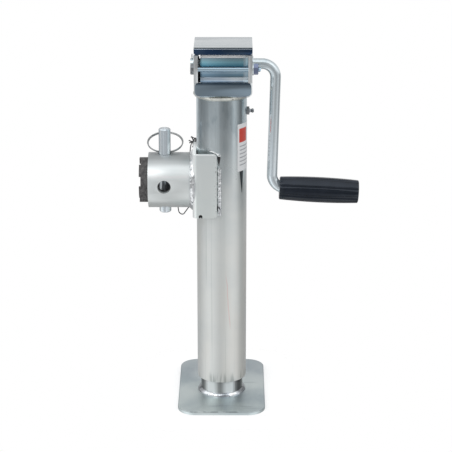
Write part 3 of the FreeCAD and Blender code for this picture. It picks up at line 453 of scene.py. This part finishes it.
def headFinish(look=headLook):
    # bright plating, with painted reflections: slate blue on the lower lips folded up at the front and back, navy on
    # the top cover's folded lips and a dark line along its fold
    web = newWeb("headZinc")
    _, y, z = web.axes()
    clouds = web.noise(34, 4)
    streaks = web.noise(150, 3, (0.03, 1, 1))
    specks = web.noise(800, 2)
    out = abs(y)
    base = web.mix(clouds.span(0.4, 0.7) * 0.5, look["side"], (0.76, 0.81, 0.83))
    base = web.mix(streaks.span(0.55, 0.75) * 0.35, base, (0.6, 0.66, 0.7))
    # painted reflection: slate blue on the lower lips, darker towards their top edge
    lip = (out > look["lipFace"]) * (z < look["lipTop"])
    lipColour = web.mix(z.span(0.4005, 0.404), look["lip"], look["lipEdge"])
    lipColour = web.mix(clouds.span(0.45, 0.7) * 0.4, lipColour, (0.27, 0.33, 0.37))
    base = web.mix(lip, base, lipColour)
    scrape = web.noise(46, 3, (0.12, 1, 1))
    roof = (z > look["roofFoot"]) * (out < look["roofEdge"])
    base = base.tint(roof * 0.9, (0.8, 0.81, 0.82))
    base = base.tint(roof * scrape.span(0.6, 0.68) * 0.55, (0.5, 0.53, 0.56))
    # painted reflection: a dark line along the top cover's fold
    nearest, furthest = look["lineSpan"]
    line = (out > nearest) * (out < furthest) * (z > look["lineFoot"])
    base = web.mix(line, base, look["foldLine"])
    # painted reflection: navy on the top cover's folded lips
    fold = (out > look["foldFace"]) * (z > look["foldFoot"]) * (z < look["foldTop"])
    foldColour = web.mix((clouds + specks * 0.2).span(0.45, 0.8) * 0.6, look["fold"], (0.09, 0.13, 0.17))
    base = web.mix(fold, base, foldColour)
    height = clouds * 0.5 + streaks * 0.2 + specks * 0.05
    web.surface(base, clouds * 0.12 + 0.14, 1, web.bump(height, 0.0002, 0.5))


gearCoverReflections = {0.4: (0.16, 0.2, 0.26), 0.4052: (0.2, 0.26, 0.33), 0.4064: (0.48, 0.53, 0.57),
                  0.409: (0.66, 0.7, 0.72), 0.4097: (0.16, 0.24, 0.3), 0.4104: (0.24, 0.4, 0.5),
                  0.4122: (0.3, 0.5, 0.66), 0.4144: (0.55, 0.76, 0.9), 0.42: (0.36, 0.6, 0.76),
                  0.4232: (0.15, 0.42, 0.56), 0.425: (0.23, 0.53, 0.68), 0.427: (0.34, 0.66, 0.78),
                  0.43: (0.36, 0.58, 0.66), 0.4318: (0.28, 0.42, 0.5), 0.4326: (1, 1, 1),
                  0.4363: (1, 1, 1)}


def gearCoverFinish():
    # painted reflections on the folded gear cover: teal and blue bands with dark and pale lines
    web = newWeb("tealZinc")
    x, _, z = web.axes()
    waves = web.noise(26, 3, (0.15, 1, 1))
    scuffs = web.noise(90, 4)
    low, high = min(gearCoverReflections), max(gearCoverReflections)
    lift = (z + (waves - 0.5) * 0.0009 - low) / (high - low)
    base = web.ramp(lift, [((height - low) / (high - low), colour) for height, colour in gearCoverReflections.items()])
    base = web.mix(scuffs.span(0.55, 0.75) * 0.25, base, (0.5, 0.55, 0.66))
    # painted reflection of the right leg: paler along the right edge
    base = web.mix(x.span(0.0255, 0.0262) * 0.45, base, (0.78, 0.88, 0.94))
    # painted reflection: darker blue towards the left, below the bolt
    base = web.mix((0.018 - x).span(0, 0.02) * (z < 0.4165) * 0.45, base, (0.2, 0.3, 0.42))
    # painted highlights: the two pale stripes are dull enough to stay white whatever they face
    pale = z.span(0.4322, 0.4328) + z.span(0.4062, 0.4068) * (0.4092 - z).span(0, 0.0005)
    web.surface(base, 0.15 + waves * 0.1 + pale * 0.3, 1 - pale * 0.98, web.bump(waves, 0.0006, 0.5))


def gripFinish():
    web = newWeb("blackGrip")
    grain = web.noise(1600, 2)
    wear = web.noise(70, 4)
    base = web.mix(wear.span(0.4, 0.75), (0.003, 0.006, 0.012), (0.009, 0.013, 0.022))
    web.surface(base, 0.1 + wear * 0.12, 0, web.bump(grain + wear * 2, 0.00004, 0.3), {
        "Specular IOR Level": 0.52, "Specular Tint": (0.8, 0.88, 1), "Coat Weight": 0.1, "Coat Roughness": 0.08})


def rawSteelFinish():
    # dark sawn steel of the weld-on stub
    web = newWeb("rawSteel")
    scale = web.noise(260, 5, rough=0.65)
    saw = web.noise(60, 3, (8, 1, 1))
    base = web.mix(scale.span(0.35, 0.7), (0.075, 0.073, 0.073), (0.19, 0.185, 0.183))
    base = web.mix(saw.span(0.6, 0.8) * 0.5, base, (0.26, 0.255, 0.25))
    web.surface(base, 0.5 + scale * 0.3, 0.4, web.bump(scale + saw * 0.6, 0.0007, 0.8))


labelLook = {"paper": (0.8, 0.81, 0.82), "block": (0.62, 0.055, 0.035), "bar": (0.3, 0.31, 0.33),
             "blockSpan": (0.3295, 0.3465), "blockTurn": (0.122, 0.205), "barFoot": 0.301, "barTop": 0.3265,
             "barStep": 0.0046}


def labelFinish():
    # white film with one plain block and a few plain bars
    web = newWeb("labelFilm")
    x, y, z = web.axes()
    turn = web.turn(x, 0 - y)
    grain = web.noise(500, 2)
    low, high = labelLook["blockSpan"]
    left, right = labelLook["blockTurn"]
    block = (z > low) * (z < high) * (turn > left) * (turn < right)
    base = web.mix(block, labelLook["paper"], labelLook["block"])
    step = labelLook["barStep"]
    row = web.sum("MODULO", z - labelLook["barFoot"], step)
    bars = (row < step * 0.3) * (z > labelLook["barFoot"]) * (z < labelLook["barTop"]) * (turn > left + 0.004)
    base = web.mix(bars * 0.8, base, labelLook["bar"])
    web.surface(base, 0.3 + grain * 0.1, 0, web.bump(grain, 0.00003, 0.3), {"Coat Weight": 0.2})


headFinish()
gearCoverFinish()
gripFinish()
rawSteelFinish()
labelFinish()

# each part's finish, which the piece that stands for it takes too
nodeFinishes = {
    "plateZinc": "foot_plate", "footWeldZinc": "foot_weld", "legZinc": "leg_tube", "tubeZinc": "housing_tube",
    "boltHeadZinc": "grease_fitting", "headZinc": "head_bracket top_cover", "headWeldZinc": "head_weld",
    "tealZinc": "gear_cover", "shankZinc": "cover_bolt",
    "rodZinc": "bolt_washer shaft_bushing_left shaft_bushing_right crank_handle shaft_washer",
    "nutZinc": "cover_nut", "wireZinc": "cotter_pin pin_ring", "blackGrip": "grip", "satinZinc": "saddle_bracket",
    "weldZinc": "saddle_weld sleeve_weld", "sleeveZinc": "swivel_sleeve", "rawSteel": "mount_stub",
    "pinZinc": "lock_pin", "tieSteel": "tie_wire",
    "plainSteel": "lead_nut screw_gear screw_gear_pin pinion pinion_pin lead_screw screw_stop bearing_race_fixed "
        "bearing_race_turning bearing_balls gear_washer stub_snap_ring",
}
finishOf = {node: finish for finish, names in nodeFinishes.items() for node in names.split()}
print("finishes ready")


# Helpers for modelling

def only(obj):
    # this object alone is selected and active
    bpy.ops.object.select_all(action="DESELECT")
    obj.hide_set(False)
    obj.select_set(True)
    bpy.context.view_layer.objects.active = obj


def pick(obj, test, kind="FACE"):
    # into edit mode with the faces or vertices where test(spot) holds
    edit(obj)
    bpy.ops.mesh.select_mode(type=kind)
    bpy.ops.mesh.select_all(action="DESELECT")
    done()
    for part in obj.data.polygons if kind == "FACE" else obj.data.vertices:
        part.select = test(part.center if kind == "FACE" else part.co)
    bpy.ops.object.mode_set(mode="EDIT")


def edit(obj):
    # into edit mode with all of it selected
    only(obj)
    bpy.ops.object.mode_set(mode="EDIT")
    bpy.ops.mesh.select_all(action="SELECT")


def done():
    bpy.ops.object.mode_set(mode="OBJECT")


def cleaned(obj, gap):
    # doubles nearer than the gap are merged and the normals turned out
    edit(obj)
    bpy.ops.mesh.remove_doubles(threshold=gap)
    bpy.ops.mesh.normals_make_consistent(inside=False)
    done()
    return obj


def rooted(obj):
    # its place, turn and size go into its mesh
    only(obj)
    bpy.ops.object.transform_apply(location=True, rotation=True, scale=True)
    return obj


def dress(obj, finish):
    obj.data.materials.clear()
    obj.data.materials.append(finishes[finish])


def settle(obj, name, node, smooth=35, finish=None):
    # the finished piece rides on the body of its node
    rooted(obj)
    bpy.ops.object.shade_smooth_by_angle(angle=radians(smooth))
    obj.name = name
    obj.data.name = name
    dress(obj, finish or finishOf[node])
    body = nodes[node]["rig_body"]
    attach(obj, body)


def applied(obj, kind, settings):
    only(obj)
    modifier = obj.modifiers.new(kind.lower(), kind)
    for name, value in settings.items():
        setattr(modifier, name, value)
    bpy.ops.object.modifier_apply(modifier=modifier.name)


def edgeBevel(obj, width, segments=2, angle=32):
    applied(obj, "BEVEL", {"width": width, "segments": segments, "limit_method": "ANGLE",
                           "angle_limit": radians(angle)})


def softened(node, name, width, segments=2):
    # a copy of a part with its corners eased so that they catch the light
    copy = nodes[node].copy()
    copy.data = copy.data.copy()
    for key in list(copy.keys()):
        del copy[key]
    copy.parent = None
    scene.collection.objects.link(copy)
    edit(copy)
    bpy.ops.mesh.remove_doubles(threshold=0.00001)
    bpy.ops.mesh.customdata_custom_splitnormals_clear()
    bpy.ops.mesh.dissolve_limited(angle_limit=radians(0.6), delimit={"NORMAL"})
    done()
    edgeBevel(copy, width, segments)
    settle(copy, name, node)
    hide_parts(node)


def turned(profile, sides=64, closed=False):
    # a lathe shape along z: the loop is extruded and scaled from one (radius, height) to the next
    radius, height = profile[0]
    bpy.ops.mesh.primitive_circle_add(vertices=sides, radius=radius,
                                      fill_type="NOTHING" if closed else "NGON")
    obj = shifted(bpy.context.object, (0, 0, height))
    edit(obj)
    for nextRadius, nextHeight in profile[1:] + (profile[:1] if closed else []):
        bpy.ops.mesh.extrude_region_move(TRANSFORM_OT_translate={"value": (0, 0, nextHeight - height)})
        share = nextRadius / radius
        bpy.ops.transform.resize(value=(share, share, 1))
        radius, height = nextRadius, nextHeight
    done()
    return cleaned(obj, 0.000004)


def aim(obj, place, way):
    # stands an object drawn along z at a place, with z turned to way
    obj.matrix_world = Matrix.Translation(place) @ Vector(way).to_track_quat("Z", "Y").to_matrix().to_4x4()
    return rooted(obj)


def shifted(obj, shift, stretch=(1, 1, 1)):
    obj.data.transform(Matrix.Translation(shift) @ Matrix.Diagonal((*stretch, 1)))
    return obj


def cutBy(obj, tool, way="DIFFERENCE"):
    applied(obj, "BOOLEAN", {"operation": way, "object": tool, "solver": "EXACT"})
    bpy.data.objects.remove(tool, do_unlink=True)


def joined(parts):
    bpy.ops.object.select_all(action="DESELECT")
    for part in parts:
        part.select_set(True)
    bpy.context.view_layer.objects.active = parts[0]
    bpy.ops.object.join()
    return parts[0]


def lumpy(obj, size, depth):
    # pushes the surface in and out like weld metal
    clouds = bpy.data.textures.new(obj.name + "Lumps", "CLOUDS")
    clouds.noise_scale = size
    clouds.noise_depth = 2
    applied(obj, "DISPLACE", {"texture": clouds, "texture_coords": "LOCAL", "strength": depth})


# Copies of the folded and turned parts, with their corners eased so that they catch the light

# node: (name, bevel's width, segments)
easedParts = {
    "foot_plate": ("footPlate", 0.0005), "head_bracket": ("headBracket", 0.0005), "top_cover": ("topCover", 0.0004),
    "gear_cover": ("gearCover", 0.00025), "saddle_bracket": ("saddleBracket", 0.0006, 3),
    "swivel_sleeve": ("swivelSleeve", 0.0005), "mount_stub": ("mountStub", 0.0004), "lock_pin": ("lockPin", 0.0002),
    "crank_handle": ("crankHandle", 0.0003), "bolt_washer": ("boltWasher", 0.0002),
    "shaft_washer": ("shaftWasher", 0.0002), "shaft_bushing_left": ("leftBush", 0.0002),
    "shaft_bushing_right": ("rightBush", 0.0002),
}
for node, setup in easedParts.items():
    softened(node, *setup)
print("eased parts ready")


# Tubes, with their ends broken by a small chamfer

tubeSetup = {"sides": 160, "housingWall": 0.0039, "legWall": 0.0032, "chamfer": 0.0006}


def tubePiece(node, name, wall):
    low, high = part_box(node)
    outer = (high.x - low.x) / 2
    inner = outer - wall
    cut = tubeSetup["chamfer"]
    profile = [(inner, low.z + cut), (inner, high.z - cut), (inner + cut, high.z), (outer - cut, high.z),
               (outer, high.z - cut), (outer, low.z + cut), (outer - cut, low.z), (inner + cut, low.z)]
    tube = turned(profile, tubeSetup["sides"], closed=True)
    settle(tube, name, node, 30)
    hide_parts(node)


tubePiece("housing_tube", "housingTube", tubeSetup["housingWall"])
tubePiece("leg_tube", "legTube", tubeSetup["legWall"])
print("tubes ready")


# Bent wire

def wirePiece(points, radius, sides=5):
    bpy.ops.curve.primitive_nurbs_path_add()
    obj = bpy.context.object
    curve = obj.data
    curve.splines.clear()
    spline = curve.splines.new("NURBS")
    spline.points.add(len(points) - 1)
    for spot, place in zip(spline.points, points):
        spot.co = (*place, 1)
    spline.order_u = 3
    spline.use_endpoint_u = True
    spline.resolution_u = 5
    curve.dimensions = "3D"
    curve.bevel_depth = radius
    curve.bevel_resolution = sides
    curve.use_fill_caps = True
    obj.location = (0, 0, 0)
    only(obj)
    bpy.ops.object.convert(target="MESH")
    return cleaned(bpy.context.object, 0.000002)


# Weld beads

weldSetup = {"footToe": 0.0036, "footRipples": 46, "headSize": 0.0034, "headRipples": 90, "sleeveSize": 0.003,
             "sleeveRipples": 70, "lump": 0.0026, "depth": 0.0012, "sunk": 0.0008, "saddleRadius": 0.0031,
             "saddlePlace": 0.0026, "saddleLength": 0.0585, "blobHeight": 0.3163, "runRadius": 0.0009,
             "cornerRun": [(-0.0155, 0.3212, 0.0006), (-0.0115, 0.3203, 0.0006), (-0.0075, 0.319, 0.0007),
                           (-0.0042, 0.3176, 0.0007)],
             "gapShades": [(0.315, 0.303, 0.0021, 0, 0.0002), (0.2535, 0.2475, 0.0011, 0.0016, 0.0024)],
             "notchX": -0.025}


def rippled(obj, centre, axis, count, depth):
    # every other stretch of a bead swells a little, like laid drops
    across = [i for i in range(3) if i != axis]

    def inDrop(spot):
        angle = atan2(spot[across[1]] - centre[across[1]], spot[across[0]] - centre[across[0]])
        return math.floor(angle / tau * count) % 2 == 0
    pick(obj, inDrop, "VERT")
    bpy.ops.transform.shrink_fatten(value=depth)
    done()


def footWeld():
    low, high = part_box("foot_weld")
    reach, floor, toe, sunk = high.x, low.z, weldSetup["footToe"], weldSetup["sunk"]
    leg = reach - toe
    profile = [(leg - sunk, floor - 0.0004), (reach + 0.0002, floor - 0.0004), (reach, floor + toe * 0.22),
               (leg + toe * 0.82, floor + toe * 0.52), (leg + toe * 0.6, floor + toe * 0.78),
               (leg + toe * 0.32, floor + toe * 1.02), (leg - sunk, floor + toe * 1.12)]
    bead = turned(profile, 240, closed=True)
    rippled(bead, (0, 0), 2, weldSetup["footRipples"], 0.00012)
    lumpy(bead, weldSetup["lump"] * 2.6, weldSetup["depth"] * 1.3)
    settle(bead, "footWeld", "foot_weld", 60)
    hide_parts("foot_weld")


def headWeld():
    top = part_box("head_weld")[1].z
    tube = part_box("housing_tube")[1].x
    size, sunk = weldSetup["headSize"], weldSetup["sunk"]
    profile = [(tube - sunk, top + 0.0002), (tube + size, top + 0.0002), (tube + size * 0.95, top - size * 0.4),
               (tube + size * 0.6, top - size * 0.85), (tube + size * 0.2, top - size * 1.2),
               (tube - sunk, top - size * 1.3)]
    bead = turned(profile, 240, closed=True)
    rippled(bead, (0, 0), 2, weldSetup["headRipples"], 0.0002)
    lumpy(bead, weldSetup["lump"] * 1.5, weldSetup["depth"])
    settle(bead, "headWeld", "head_weld", 60)
    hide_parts("head_weld")


def tubeSpot(x, z, lift):
    # a place on the housing's front or, with a negative lift, on its back
    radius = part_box("housing_tube")[1].y + abs(lift)
    away = sqrt(radius ** 2 - x ** 2)
    return (x, -away if lift > 0 else away, z)


def saddleWeld():
    # one bead down each flange, a blob at its top corner and a short run across the corner
    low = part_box("saddle_weld")[0]
    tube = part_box("housing_tube")[1].y
    radius, place, length = weldSetup["saddleRadius"], weldSetup["saddlePlace"], weldSetup["saddleLength"]
    steps = 60
    foot = low.z + radius * 0.4
    beads = []
    for side in (-1, 1):
        profile = [(radius * 0.35, foot - radius * 0.35)]
        for i in range(steps + 1):
            ripple = 0.00024 * sin(i * tau / 3.7 + side) + 0.0003 * sin(i * 0.9)
            profile.append((radius * 0.88 + ripple, foot + length * i / steps))
        profile.append((radius * 0.35, foot + length + radius * 0.35))
        beads.append(shifted(turned(profile, 28), (-place, side * tube, 0)))
        blob = turned([(0.0006, -0.0017), (0.0019, -0.0009), (0.0023, 0.0004), (0.0016, 0.0017), (0.0005, 0.0022)], 24)
        beads.append(shifted(blob, (-place - 0.0004, side * (tube + 0.0008), weldSetup["blobHeight"]), (1.25, 0.8, 1)))
        run = [tubeSpot(x, z, -side * lift) for x, z, lift in weldSetup["cornerRun"]]
        beads.append(wirePiece(run, weldSetup["runRadius"], 3))
    bead = joined(beads)
    lumpy(bead, weldSetup["lump"], weldSetup["depth"] * 0.9)
    settle(bead, "saddleWeld", "saddle_weld", 60)
    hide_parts("saddle_weld")
    # painted shade: dark lumps in the gaps between the flange's corners and the bead, where shade falls
    gapShadePieces = []
    for side in (-1, 1):
        for top, foot, width, aside, lift in weldSetup["gapShades"]:
            gapShadePiece = turned([(0.0002, foot), (width * 0.5, foot + (top - foot) * 0.35), (width, top - 0.002),
                           (width * 0.8, top)], 20)
            gapShadePieces.append(shifted(gapShadePiece, (-place - 0.0004 - aside, side * (tube + lift), 0), (0.9, 0.55, 1)))
    gapShadePiece = joined(gapShadePieces)
    lumpy(gapShadePiece, 0.002, 0.0007)
    settle(gapShadePiece, "weldGapShade", "saddle_weld", 60, "paintedShadeBlack")


def notchShade():
    # painted shade: a near-black plug in the notch at the bracket's foot, where the hollow behind it is in shade
    low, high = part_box("saddle_bracket")
    for side in (-1, 1):
        plug = turned([(0.0021, -0.0006), (0.0022, 0), (0.0019, 0.0005), (0.0009, 0.0008)], 28)
        aim(plug, (weldSetup["notchX"], side * (high.y - 0.0013), low.z + 0.0002), (0, side, 0))

        def below(spot):
            return spot.z < low.z
        pick(plug, below, "VERT")
        bpy.ops.mesh.delete(type="VERT")
        bpy.ops.mesh.select_all(action="SELECT")
        bpy.ops.mesh.region_to_loop()
        bpy.ops.mesh.edge_face_add()
        done()
        lumpy(plug, 0.002, 0.0003)
        settle(plug, "notchShade" + ("Front" if side < 0 else "Back"), "saddle_bracket", 50, "paintedShadeBlack")


def sleeveWeld():
    low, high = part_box("swivel_sleeve")
    centre = (high + low) / 2
    radius = (high.z - low.z) / 2
    size = weldSetup["sleeveSize"]
    face = high.x
    profile = [(radius - 0.001, -size * 1.25), (radius + size * 0.25, -size * 1.2), (radius + size * 0.6, -size * 0.8),
               (radius + size * 0.95, -size * 0.35), (radius + size * 1.1, 0.0002), (radius + size * 1.1, 0.0022),
               (radius - 0.001, 0.0022)]
    bead = turned(profile, 240, closed=True)
    aim(bead, (face, centre.y, centre.z), (1, 0, 0))
    rippled(bead, centre, 0, weldSetup["sleeveRipples"], 0.0001)
    lumpy(bead, weldSetup["lump"] * 2.2, weldSetup["depth"])
    settle(bead, "sleeveWeld", "sleeve_weld", 60)
    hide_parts("sleeve_weld")


footWeld()
headWeld()
saddleWeld()
notchShade()
sleeveWeld()
print("welds ready")


# Through bolt with its nut

boltSetup = {"radius": 0.003175, "pitch": 0.00127, "threadDepth": 0.0005, "headHeight": 0.004, "spare": 0.004}


def hexBody(flats, height, chamferTop, chamferFoot):
    # a hexagon along z whose corners are turned off on one or both ends
    bpy.ops.mesh.primitive_cylinder_add(vertices=6, radius=flats / sqrt(3), depth=height,
                                        location=(0, 0, height / 2))
    body = rooted(bpy.context.object)
    wide = flats / sqrt(3) * 1.02
    tight = flats / 2 * 0.95
    drop = (wide - tight) * 0.55
    profile = [(tight if chamferFoot else wide, 0), (wide, drop if chamferFoot else height * 0.2),
               (wide, height - drop if chamferTop else height * 0.8), (tight if chamferTop else wide, height)]
    cutBy(body, turned(profile, 96), "INTERSECT")
    return body


def threadEnd(radius, start, length):
    # a rod end with a screwed ridge
    pitch, depth = boltSetup["pitch"], boltSetup["threadDepth"]
    core = turned([(radius - depth, start), (radius - depth, start + length * 0.9),
                   (radius - depth * 2.2, start + length)], 48)
    bpy.ops.mesh.primitive_circle_add(vertices=3, radius=pitch * 0.5, fill_type="NOTHING")
    ridge = bpy.context.object
    corners = [(radius - depth * 1.1, -pitch * 0.48), (radius, 0), (radius - depth * 1.1, pitch * 0.48)]
    for vertex, (away, height) in zip(ridge.data.vertices, corners):
        vertex.co = (away, 0, start + pitch * 0.6 + height)
    turns = int((length - pitch) / pitch)
    applied(ridge, "SCREW", {"axis": "Z", "angle": tau, "screw_offset": pitch, "iterations": max(turns, 1),
                             "steps": 36, "render_steps": 36, "use_normal_calculate": True})
    return joined([core, ridge])


def throughBolt():
    low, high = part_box("cover_bolt")
    nutLow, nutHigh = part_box("cover_nut")
    washerLow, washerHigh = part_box("bolt_washer")
    y, z = (washerLow.y + washerHigh.y) / 2, (low.z + high.z) / 2
    flats = nutHigh.y - nutLow.y
    shank, head = boltSetup["radius"], boltSetup["headHeight"]
    hexHead = hexBody(flats, head, False, True)
    face = turned([(flats * 0.46, head - 0.0002), (flats * 0.46, head + 0.00015)], 48)
    length = high.x - low.x
    threadStart = nutLow.x - boltSetup["spare"] - low.x
    stem = turned([(shank, head * 0.5), (shank, threadStart)], 48)
    end = threadEnd(shank, threadStart, length - threadStart)
    crown = joined([hexHead, face])
    edgeBevel(crown, 0.0002, 2, 30)
    aim(crown, (low.x, y, z), (1, 0, 0))
    settle(crown, "boltHead", "cover_bolt", 30, "boltHeadZinc")
    bolt = joined([stem, end])
    aim(bolt, (low.x, y, z), (1, 0, 0))
    settle(bolt, "throughBolt", "cover_bolt", 30)
    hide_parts("cover_bolt")
    nut = hexBody(flats, nutHigh.x - nutLow.x, True, True)
    cutBy(nut, turned([(shank * 0.98, -0.001), (shank * 0.98, 0.02)], 48))
    edgeBevel(nut, 0.00012, 2, 30)
    aim(nut, (nutLow.x, y, z), (1, 0, 0))
    settle(nut, "boltNut", "cover_nut", 30)
    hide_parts("cover_nut")


throughBolt()
print("bolt ready")


# Cotter pin, pull ring and the tie wire's twist

cotterSetup = {"wire": 0.00058, "gap": 0.0006, "eye": 0.0023, "spread": 0.0042}


def cotterPin():
    low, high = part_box("cotter_pin")
    x = (low.x + high.x) / 2
    wire, eye, gap, spread = (cotterSetup[part] for part in ("wire", "eye", "gap", "spread"))
    top, foot = high.z - wire, low.z + wire
    shaft = (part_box("shaft_washer")[0].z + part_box("shaft_washer")[1].z) / 2
    middle = top - eye
    # one leg from its foot up to the eye, and the other, which stands a little higher, is its mirror image
    leg = [(spread, foot + 0.0003), (spread * 0.55, foot + 0.0006), (gap, shaft - 0.0075), (gap, shaft - 0.003),
           (gap, shaft + 0.004), (gap, middle - eye * 0.95), (eye * 1.05, middle - eye * 0.35),
           (eye * 0.95, middle + eye * 0.75)]
    other = [(spread, foot + 0.0006), (spread * 0.55, foot + 0.0009)] + leg[2:]
    points = [(x, -y, z) for y, z in leg] + [(x, 0, top + eye * 0.12)] + [(x, y, z) for y, z in reversed(other)]
    pin = wirePiece(points, wire)
    settle(pin, "cotterPin", "cotter_pin", 50)
    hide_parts("cotter_pin")


ringSetup = {"wire": 0.00076, "beside": 0.84, "apart": 0.024, "tilt": 20, "reach": 0.02125, "straight": 0.0087,
             "pointsPerTurn": 26, "rise": 0.0014}


def pullRing():
    # a split ring: two turns of wire side by side, straight where they pass through the pin
    pinLow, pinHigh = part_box("lock_pin")
    x = (pinLow.x + pinHigh.x) / 2
    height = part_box("pin_ring")[0].z + ringSetup["rise"]
    reach, straight = ringSetup["reach"], ringSetup["straight"]
    drop = sqrt(reach ** 2 - straight ** 2)
    tilt = radians(ringSetup["tilt"])
    half = asin(straight / reach)
    points = []
    steps = ringSetup["pointsPerTurn"]
    beside = ringSetup["wire"] * ringSetup["beside"]
    for lap, side in ((0, -beside), (1, beside)):
        points += [(0 if lap else -straight * 0.1, 0, side), (straight * 0.8, 0, side)]
        for i in range(steps + 1):
            angle = -pi / 2 + half + (tau - 2 * half) * i / steps
            step = side if i < steps - 2 or lap else 0
            # the two turns don't lie quite on each other, least of all at the ring's sides
            wide = reach * (1 + ringSetup["apart"] * (lap - 0.6) * cos(angle) ** 2)
            points.append((wide * cos(angle), drop + wide * sin(angle), step))
        points.append((-straight * 0.8, 0, side if lap else 0))
    points.append((0, 0, beside))
    placed = [(x + px, py * cos(tilt) - pz * sin(tilt), height + py * sin(tilt) + pz * cos(tilt))
              for px, py, pz in points]
    ring = wirePiece(placed, ringSetup["wire"], 4)
    settle(ring, "pullRing", "pin_ring", 50)
    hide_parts("pin_ring")


twistSetup = {"wire": 0.00074, "turns": 2.2, "length": 0.0078, "width": 0.0016, "foot": (-0.034, 0.0296, 0.3105),
              "way": (0.08, -0.3, 0.95)}
twistSpikes = [(-0.0062, -0.0008, 0.0024), (0.0026, -0.0014, 0.0046), (0.0006, -0.0034, 0.0052),
               (0.0036, 0.0006, 0.001), (-0.0022, 0.0012, 0.0054), (-0.004, -0.002, -0.0012)]


def wireTwist():
    # the tie wire's ends, wrung together over the bracket's corner
    foot = Vector(twistSetup["foot"])
    way = Vector(twistSetup["way"]).normalized()
    across = way.cross(Vector((0, 1, 0))).normalized()
    third = way.cross(across)
    strands = []
    count = int(twistSetup["turns"] * 8)
    for number, spike in enumerate(twistSpikes):
        points = []
        start = number * tau / len(twistSpikes)
        for i in range(count + 1):
            share = i / count
            angle = start + share * twistSetup["turns"] * tau
            width = twistSetup["width"] * (1 + 0.35 * sin(share * 9 + number))
            points.append(foot + way * (twistSetup["length"] * share)
                          + (across * cos(angle) + third * sin(angle)) * width)
        points += [points[-1] + Vector(spike) * 0.5, points[-1] + Vector(spike)]
        strands.append(wirePiece(points, twistSetup["wire"], 3))
    twist = joined(strands)
    settle(twist, "wireTwist", "tie_wire", 50)


cotterPin()
pullRing()
wireTwist()
print("wires ready")


# Grip: a barrel with eight hollow flutes along it

gripSetup = {"start": (0.06979, 0, 0.267341), "droop": 2.8, "length": 0.0955, "endRadius": 0.0138,
             "midRadius": 0.0154, "bore": 0.00665, "wallEnd": 0.004, "round": 0.0012, "flutes": 8, "fluteTurn": 20,
             "fluteDepth": 0.0012, "fluteAxis": 0.0165}


def gripBarrel():
    length, cut, end, axis = (gripSetup[part] for part in ("length", "round", "endRadius", "fluteAxis"))
    steps = 16

    def radiusAt(share):
        return end + (gripSetup["midRadius"] - end) * (1 - (2 * share - 1) ** 2)
    profile = [(end - cut, 0), (end - cut * 0.3, cut * 0.3), (radiusAt(0.012), cut)]
    profile += [(radiusAt(i / steps), length * i / steps) for i in range(1, steps)]
    profile += [(radiusAt(0.988), length - cut), (end - cut * 0.3, length - cut * 0.3), (end - cut, length)]
    barrel = turned(profile, 96)
    for k in range(gripSetup["flutes"]):
        line = [(0.0012, -0.002)]
        for i in range(-1, steps + 2):
            share = i / steps
            line.append((axis - radiusAt(share) + gripSetup["fluteDepth"], length * share))
        turn = radians(gripSetup["fluteTurn"] + 360 / gripSetup["flutes"] * k)
        cutBy(barrel, shifted(turned(line, 28), (axis * cos(turn), axis * sin(turn), 0)))
    cutBy(barrel, turned([(gripSetup["bore"], -0.001), (gripSetup["bore"], length - gripSetup["wallEnd"])], 48))
    edgeBevel(barrel, 0.0003, 2, 30)
    droop = radians(gripSetup["droop"])
    aim(barrel, gripSetup["start"], (cos(droop), 0, -sin(droop)))
    settle(barrel, "gripBarrel", "grip", 30)
    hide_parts("grip")


gripBarrel()
print("grip ready")


# Label film on the housing

labelSetup = {"lift": 0.00008, "film": 0.00012, "low": 0.294, "high": 0.352, "start": 38.8, "end": 118}


def label():
    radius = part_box("housing_tube")[1].x + labelSetup["lift"]
    height = labelSetup["high"] - labelSetup["low"]
    bpy.ops.mesh.primitive_cylinder_add(vertices=360, radius=radius, depth=height, end_fill_type="NOTHING",
                                        location=(0, 0, labelSetup["low"] + height / 2))
    film = bpy.context.object

    def outside(spot):
        angle = degrees(atan2(spot.x, -spot.y))
        return not labelSetup["start"] < angle < labelSetup["end"]
    pick(film, outside)
    bpy.ops.mesh.delete(type="FACE")
    done()
    applied(film, "SOLIDIFY", {"thickness": labelSetup["film"], "offset": 1})
    settle(film, "plainLabel", "housing_tube", 30, "labelFilm")


label()
print("label ready")


for node, finish in finishOf.items():
    dress(nodes[node], finish)
print("parts dressed")
